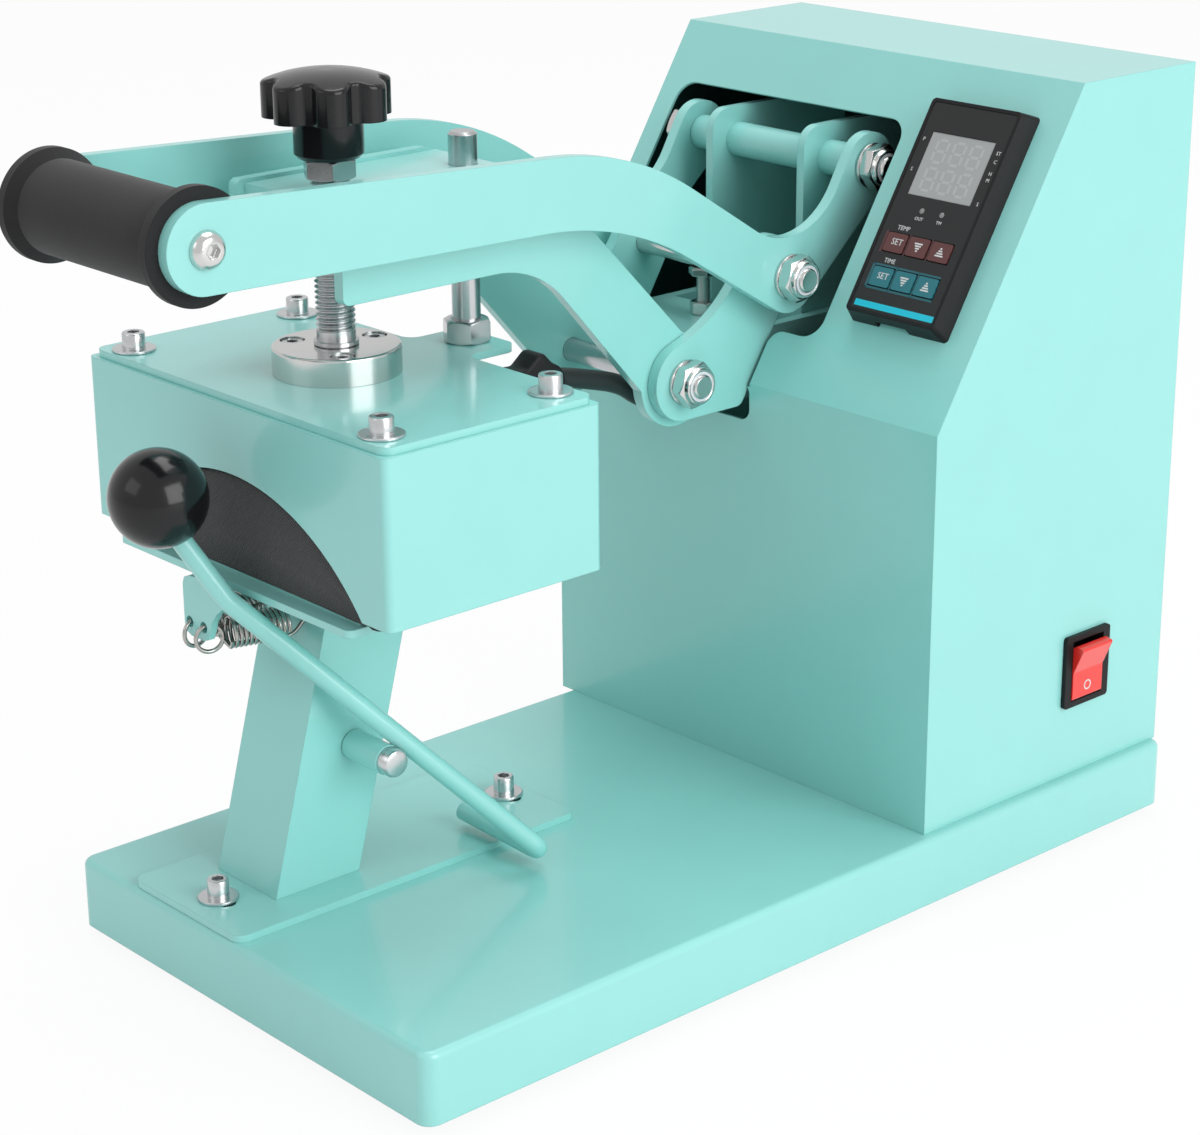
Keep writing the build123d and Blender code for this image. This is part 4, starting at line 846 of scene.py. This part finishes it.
def spring(name, ring_at, hole_at):
    start = spot(*ring_at)
    end = spot(*hole_at)
    way = (end - start).normalized()
    span = (end - start).length / MM
    low, high = 7.2, span - 8.5
    across = way.cross(Vector(ALONG))
    side = across.normalized()
    side = side if side.z < 0 else -side

    def beside(along, out):
        return start + way * along * MM + side * out * MM

    whole = bmesh.new()
    put(whole, hoop(HOOP, WIRE), start + Vector((0, 0, -1.2 * MM)), across.cross(way))
    put(whole, wound(COIL, WIRE, PITCH, high - low), start + way * low * MM, way)
    add_tube(whole, [beside(high - 0.6, COIL), beside(high + 1.8, 5.8), beside(high + 5.0, 3.4),
                     beside(high + 7.5, 0), end + way * 2 * MM], WIRE * MM)
    add_tube(whole, [beside(4.2, 1.0), beside(5.6, 3.2), beside(low + 0.2, 5.4)], WIRE * MM)
    made = keep(whole, name + "_wound", [spring_steel], None, [name], angle=60)
    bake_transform(made)


spring("spring_left", (-13.0, 22.8, 135.8), (-15.5, 60.9, 142.0))
spring("spring_right", (-4.0, 22.8, 135.8), (7.5, 59.4, 136.5))

# %% [markdown]
# ## Heater cable and its boot
# The cable is a stiff, heat-proof lead of fixed length. Its line is one smooth curve between
# the boot on the head and the notch in the tower, and a round tube follows that line. It rides
# on no body. The moulded boot is a side outline, extruded and rounded all over.

# %% Cable
CABLE_X = 30.0
CABLE_R = 4.0
CABLE_LINE = [(0, 150.0, 218.0), (-1, 168.0, 214.5), (-5, 188.0, 208.8), (-8.5, 208.0, 202.5),
              (-9.5, 220.0, 193.5), (-9.5, 238.0, 188.5), (-9.5, 262.0, 188.8), (-9.5, 288.0, 186.5)]
route = [spot(CABLE_X + aside, depth, height) for aside, depth, height in CABLE_LINE]
line = run_along(route)
bpy.data.meshes.remove(line)
whole = bmesh.new()
add_tube(whole, route, CABLE_R * MM, sides=6)
cable = keep(whole, "heater_cable_run", [cable_skin], None, ["heater_cable"], angle=60)
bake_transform(cable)

# %% Boot
BOOT_W = 11.0
boot_side = [(133.9, 208.5), (133.9, 221.8), (141, 222.6), (147.5, 222.2), (153.8, 227.3),
             (156.6, 227.2), (160.4, 223.0), (164.6, 220.6), (167.2, 217.5), (167.4, 210.5),
             (158, 207.5), (146, 207.5)]
whole = bmesh.new()
corners = [whole.verts.new(spot(CABLE_X - BOOT_W / 2, *p)) for p in boot_side]
pull(whole, [whole.faces.new(corners)], (BOOT_W * MM, 0, 0))
bmesh.ops.bevel(whole, geom=whole.edges[:], offset=1.9 * MM, offset_type="OFFSET", segments=4,
                profile=0.5, affect="EDGES", material=-1, clamp_overlap=True)
keep(whole, "cable_boot_moulded", [case_black], "head", ["cable_boot"], angle=50)

# %% [markdown]
# ## Lever rod and knuckle shaft
# The clamp lever is one bar bent in three places, with a hub welded on for its bolt and an ear
# for the springs. Its middle line is made of straight runs and arcs; the ear is an outline
# filled around its two holes, then extruded.

# %% A bent line
def bent(points, radii, steps=8):
    """Replace each inner corner of a line by an arc of the given radius."""
    line = [points[0]]
    for before, corner, after, radius in zip(points, points[1:], points[2:], radii):
        come = (before - corner).normalized()
        leave = (after - corner).normalized()
        half = come.angle(leave) / 2
        middle = corner + (come + leave).normalized() * radius / math.sin(half)
        first = corner + come * radius / math.tan(half) - middle
        last = corner + leave * radius / math.tan(half) - middle
        for i in range(steps + 1):
            line.append(middle + first.lerp(last, i / steps).normalized() * radius)
    return line + [points[-1]]


# %% Lever rod
# The knob is bored along the line from its middle to the elbow, so the rod leaves it that way.
BAR_R = 4.0
knob, elbow = spot(0, 1.5, 195.6), spot(6.0, 19.7, 151.7)
neck = knob + (elbow - knob).normalized() * 19 * MM
corners = [knob, neck, spot(13.2, 19.7, 155.4), spot(64.3, 128.6, 35.5), spot(15.5, 127.0, 38.6)]
bends = [radius * MM for radius in (20.0, 14.0, 5.5)]
whole = bmesh.new()
add_tube(whole, bent(corners, bends), BAR_R * MM, sides=6, kind="POLY")
hub = [(4.05, 0), (5.7, 0), (6.0, 0.3), (6.0, 21.2), (5.7, 21.5), (4.05, 21.5)]
put(whole, turned(hub, ring=True), spot(19.3, *LEVER_PIN), ALONG)

EAR_AT, EAR_T = 20.5, 3.0
HOLE_H, HOLE_R = 139.5, 2.2
EAR = [(-16.5, 138), (-16.5, 154), (-15.3, 156.8), (-12.5, 158), (6, 160), (12, 158.5), (9, 150),
       (4.5, 146.5), (1.5, 142.5), (0, 138), (-1.6, 135), (-4.5, 134), (-12.5, 134), (-15.3, 135.2)]
ear = bmesh.new()
rim = [ear.verts.new(spot(x, EAR_AT, h)) for x, h in EAR]
edges = [ear.edges.new(pair) for pair in zip(rim, rim[1:] + rim[:1])]
for across in (-13.0, -4.0):
    turn = [math.radians(15 * i) for i in range(24)]
    hole = [ear.verts.new(spot(across + HOLE_R * math.cos(a), EAR_AT, HOLE_H + HOLE_R * math.sin(a)))
            for a in turn]
    edges += [ear.edges.new(pair) for pair in zip(hole, hole[1:] + hole[:1])]
bmesh.ops.triangle_fill(ear, use_beauty=True, use_dissolve=False, edges=edges)
pull(ear, ear.faces[:], (0, EAR_T * MM, 0), use_keep_orig=True)
put(whole, ear, ORIGIN, UP)
keep(whole, "lever_rod_bent", [mint_paint], "clamp_lever", ["lever_rod"])

# %% Knuckle shaft
whole = bmesh.new()
put(whole, rod(5, 68.4, 48), spot(-34.2, *KNUCKLE), ALONG)
keep(whole, "knuckle_shaft_turned", [bar_steel], "head_arm", ["knuckle_shaft"])

# %% [markdown]
# ## The cushion
# The cushion is a soft, half-moon block of silicone cloth that fills the arch of the head. It
# starts as a cube with a grid on every side, and each grid point is sent to its place in the
# arch. Cloth under pressure then swells it, each point moves only a little, and all of them
# stay inside the room that the arch leaves. Last, the dome that it rests on is cut out.

# %% Cushion form
ARCH_R = 97.3
ARCH_H = 99.8
REST = 156.8
PAD_WIDE, PAD_AT, PAD_DEEP = 178, 34.9, 97.4
FLAT = 74
SLACK = 0.05
pad_low, pad_high = (Vector(corner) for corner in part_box("platen_pad"))


def half_moon(across):
    """Underside and top of the cushion at a distance from the middle, in millimetres."""
    far = abs(across)
    top = ARCH_H + math.sqrt((ARCH_R - 0.4) ** 2 - far ** 2)
    return REST + SLACK + max(0, far - FLAT) * 0.19, max(top, 159.9)


bm = bmesh.new()
bmesh.ops.create_cube(bm, size=1)
bmesh.ops.subdivide_edges(bm, edges=bm.edges[:], cuts=31, use_grid_fill=True)
for vert in bm.verts:
    across = PAD_WIDE * vert.co.x
    under, top = half_moon(across)
    depth = PAD_AT + PAD_DEEP * (vert.co.y + 0.5)
    vert.co = spot(across, depth, under + (top - under) * (vert.co.z + 0.5))
for _ in range(3):
    bmesh.ops.smooth_vert(bm, verts=bm.verts, factor=0.5,
                          use_axis_x=True, use_axis_y=True, use_axis_z=True)
bmesh.ops.recalc_face_normals(bm, faces=bm.faces)
cushion_mesh = bpy.data.meshes.new("cushion_swollen")
bm.to_mesh(cushion_mesh)
bm.free()
cushion = bpy.data.objects.new("cushion_swollen", cushion_mesh)
scene.collection.objects.link(cushion)
print("cushion points", len(cushion_mesh.vertices))


# %% Swelling
COVER_H = 160.0
SIDE = PAD_WIDE / 2
WALL = 76.5


def room(place):
    """Hold a point inside the arch, above the rest and between the head's walls."""
    across = (place.x - press_x) / MM
    high = place.z / MM - FOOT
    reach = math.hypot(across, high - ARCH_H)
    if high > COVER_H and reach > ARCH_R - SLACK:
        share = (ARCH_R - SLACK) / reach
        across, high = across * share, ARCH_H + (high - ARCH_H) * share
        if abs(across) > WALL:
            high = min(high, COVER_H)
    high = max(high, REST + SLACK)
    across = max(-SIDE, min(SIDE, across))
    deep = max(pad_low.y + 0.1 * MM, min(pad_high.y - 0.1 * MM, place.y))
    return Vector((press_x + across * MM, deep, (high + FOOT) * MM))


def swell(piece, pressure, frames, most):
    start = [v.co.copy() for v in piece.data.vertices]
    cloth = piece.modifiers.new("Cloth", "CLOTH")
    cloth.settings.quality = 6
    cloth.settings.use_pressure = True
    cloth.settings.uniform_pressure_force = pressure
    cloth.settings.effector_weights.gravity = 0
    cloth.point_cache.frame_start = 1
    cloth.point_cache.frame_end = frames
    for frame_number in range(1, frames + 1):
        scene.frame_set(frame_number)
    blown = piece.evaluated_get(bpy.context.evaluated_depsgraph_get())
    ends = [v.co.copy() for v in blown.data.vertices]
    piece.modifiers.remove(cloth)
    scene.frame_set(1)
    for vert, was, now in zip(piece.data.vertices, start, ends):
        move = now - was
        if move.length > most:
            move = move.normalized() * most
        vert.co = was + move
    largest = max((now - was).length for was, now in zip(start, ends))
    print("largest move", round(largest / MM, 2), "mm, held to", most / MM)


swell(cushion, pressure=4.0, frames=20, most=1.1 * MM)
for vert in cushion_mesh.vertices:
    vert.co = room(vert.co)

# %% The dome below is cut out
DOME_R, DOME_AT, DOME_L = 91.4, 37.0, 93.2
dome = bmesh.new()
arc = [math.radians(a) for a in range(30, 151, 3)]
outline = [dome.verts.new(spot(DOME_R * math.cos(a), DOME_AT, ARCH_H + DOME_R * math.sin(a)))
           for a in arc]
pull(dome, [dome.faces.new(outline)], (0, DOME_L * MM, 0))
dome_mesh = bpy.data.meshes.new("dome_tool")
dome.to_mesh(dome_mesh)
dome.free()
dome_tool = bpy.data.objects.new("dome_tool", dome_mesh)
scene.collection.objects.link(dome_tool)
finer = cushion.modifiers.new("Finer", "SUBSURF")
finer.levels = finer.render_levels = 1
hollow = cushion.modifiers.new("Hollow", "BOOLEAN")
hollow.operation = "DIFFERENCE"
hollow.solver = "EXACT"
hollow.object = dome_tool
final = bpy.data.meshes.new_from_object(cushion.evaluated_get(bpy.context.evaluated_depsgraph_get()))
cushion.modifiers.clear()
cushion.data = final
final.name = "cushion_swollen"
bpy.data.meshes.remove(cushion_mesh)
bpy.data.objects.remove(dome_tool)
bpy.data.meshes.remove(dome_mesh)
final.materials.clear()
final.materials.append(pad_cloth)
final.shade_smooth()
final.set_sharp_from_angle(angle=math.radians(50))
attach(cushion, "base")
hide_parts("platen_pad")
print("cushion faces", len(final.polygons))

# %% [markdown]
# ## Grip bolts
# The grip's rod is held at both ends by a button head with a hexagon socket.

# %% Grip bolts
HEAD_T = 4.4
GRIP_FACE = (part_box("grip_bolts")[1][0] - press_x) / MM - HEAD_T
whole = bmesh.new()
for side in (-1, 1):
    put(whole, button_screw(7.0, HEAD_T, 5.0, 2.4), spot(side * GRIP_FACE, *GRIP), (side, 0, 0))
    put(whole, turned([(0, 0), (4.0, 0), (4.0, 18.5), (3.3, 19.5), (0, 19.5)], steps=32),
        spot(side * GRIP_FACE, *GRIP), (-side, 0, 0))
keep(whole, "grip_bolts_turned", [nickel], "handle", ["grip_bolts"])

# %% [markdown]
# ## Print on the controller
# The overlay lies on the sloping front of the tower. One matrix leads from the flat sheet of
# the print, with millimetres across and up the slope, to its place, so bars and letters are
# laid out flat. Letters come from a text curve that is made a mesh first.

# %% Laying out print
SLOPE = Matrix((ALONG, (0, RUN, -RISE), (0, RISE, RUN)))
PRINT_FOOT = Vector((75.7, 68.75, KNEE_H)) * MM
OVERLAY, GLASS, KEY_TOP = 8.3, 8.1, 8.7


def panel(across, run, lift):
    flat = Vector((across, run, lift)) * MM
    return Matrix.Translation(PRINT_FOOT) @ SLOPE.to_4x4() @ Matrix.Translation(flat)


def slab(whole, across, run, wide, tall, lift, slot=0, thick=0.06):
    bar = bmesh.new()
    bmesh.ops.create_cube(bar, size=1)
    bmesh.ops.scale(bar, vec=(wide * MM, tall * MM, thick * MM), verts=bar.verts)
    bmesh.ops.transform(bar, matrix=panel(across, run, lift + thick / 2 - 0.02), verts=bar.verts)
    put(whole, bar, ORIGIN, UP, slot)


def letters(whole, words, size, across, run, lift, slot=0):
    curve = bpy.data.curves.new("letters", "FONT")
    curve.body = words
    curve.size = size * MM
    curve.extrude = 0.04 * MM
    curve.resolution_u = 2
    curve.align_x = "CENTER"
    curve.align_y = "CENTER"
    mesh = as_mesh(curve)
    mesh.materials.clear()
    flat = bmesh.new()
    flat.from_mesh(mesh)
    bpy.data.meshes.remove(mesh)
    bmesh.ops.remove_doubles(flat, verts=flat.verts, dist=1e-7)
    bmesh.ops.transform(flat, matrix=panel(across, run, lift + 0.02), verts=flat.verts)
    bmesh.ops.recalc_face_normals(flat, faces=flat.faces)
    put(whole, flat, ORIGIN, UP, slot)


# %% Bands, words and marks on the overlay
# The two coloured bands leave the keys free, so that a pressed key still shows its mark.
red_band = ruled("band_red", (0.10, 0.022, 0.024), (0.055, 0.012, 0.013))
teal_band = ruled("band_teal", (0.008, 0.14, 0.17), (0.004, 0.07, 0.09))
led_lens = finish("led_lens", (0.22, 0.22, 0.22), 0.3, mottle=0.05, edge=0)
whole = bmesh.new()
for low, high, slot in ((64.0, 73.0, 2), (48.5, 59.2, 3)):
    for across, wide in ((-17.9, 1.2), (-5.85, 0.5), (5.85, 0.5)):
        slab(whole, across, (low + high) / 2, wide, high - low, OVERLAY, slot)
for run, tall in ((48.95, 0.9), (58.8, 0.8)):
    slab(whole, -0.75, run, 35.5, tall, OVERLAY, slot=3)
slab(whole, 0.9, 42.0, 41.3, 2.6, OVERLAY, slot=1)
letters(whole, "TEMP", 2.7, -10.7, 75.0, OVERLAY)
letters(whole, "TIME", 2.7, -10.9, 60.9, OVERLAY)
for across, words in ((-5.5, "OUT"), (4.9, "TM")):
    lamp = turned([(0, 0), (1.15, 0), (1.15, 0.1), (0.9, 0.25), (0, 0.3)], steps=24)
    bmesh.ops.transform(lamp, matrix=panel(across, 83.4, OVERLAY - 0.02), verts=lamp.verts)
    put(whole, lamp, ORIGIN, UP, 4)
    letters(whole, words, 2.0, across, 80.0, OVERLAY)
for words, across, run in (("P", -19.2, 112.5), ("S", -19.2, 99.5), ("ST", 19.6, 112.0),
                           ("C", 19.6, 108.4), ("H", 19.6, 103.4), ("M", 19.6, 100.6),
                           ("S", 19.6, 90.5)):
    letters(whole, words, 2.2, across, run, OVERLAY)
inks = [print_white, print_cyan, red_band, teal_band, led_lens]
overlay_print = keep(whole, "overlay_print", inks, "base")

# %% Digits of the display
segment_grey = finish("segment_grey", (0.41, 0.42, 0.42), 0.35, mottle=0.05, edge=0)
whole = bmesh.new()
DIGIT, SEGMENT = 9.4, 1.25
for row in (108.6, 96.6):
    for place in range(3):
        middle = 8.8 * (place - 1)
        for rise in (-DIGIT / 2, 0, DIGIT / 2):
            slab(whole, middle, row + rise, 3.8, SEGMENT, GLASS)
        for side in (-2.8, 2.8):
            for rise in (-DIGIT / 4, DIGIT / 4):
                slab(whole, middle + side, row + rise, SEGMENT, DIGIT / 2 - 1.0, GLASS)
display_print = keep(whole, "display_print", [segment_grey], "base")

# %% Marks on the six keys
def arrow(whole, across, run, way):
    for step in range(4):
        slab(whole, across, run + way * (step - 1.5) * 1.0, 4.1 - step * 1.05, 0.62, KEY_TOP)


for row, slot, run in (("temp", "red_key", 68.6), ("time", "teal_key", 53.9)):
    for key, across in (("set", -11.7), ("down", 0.0), ("up", 11.7)):
        whole = bmesh.new()
        if key == "set":
            letters(whole, "SET", 3.7, across + 0.8, run + 0.3, KEY_TOP)
        else:
            arrow(whole, across, run, 1 if key == "up" else -1)
        mark = keep(whole, row + "_" + key + "_mark", [print_white], row + "_" + key)

# %% [markdown]
# ## Mark on the rocker
# The pressed half of the rocker stands upright and carries a thin ring. The ring is a turned
# strip with square edges.

# %% Ring
ROCKER_FACE = 117.13
RING_H = 73.2
whole = bmesh.new()
rocker_low, rocker_high = (Vector(corner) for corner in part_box("switch_rocker"))
rocker_mid = (rocker_low.y + rocker_high.y) / 2
put(whole, turned([(1.6, 0), (2.2, 0), (2.2, 0.07), (1.6, 0.07)], ring=True),
    Vector((ROCKER_FACE * MM, rocker_mid, RING_H * MM)), ALONG)
ring = keep(whole, "rocker_ring", [print_white], "rocker")
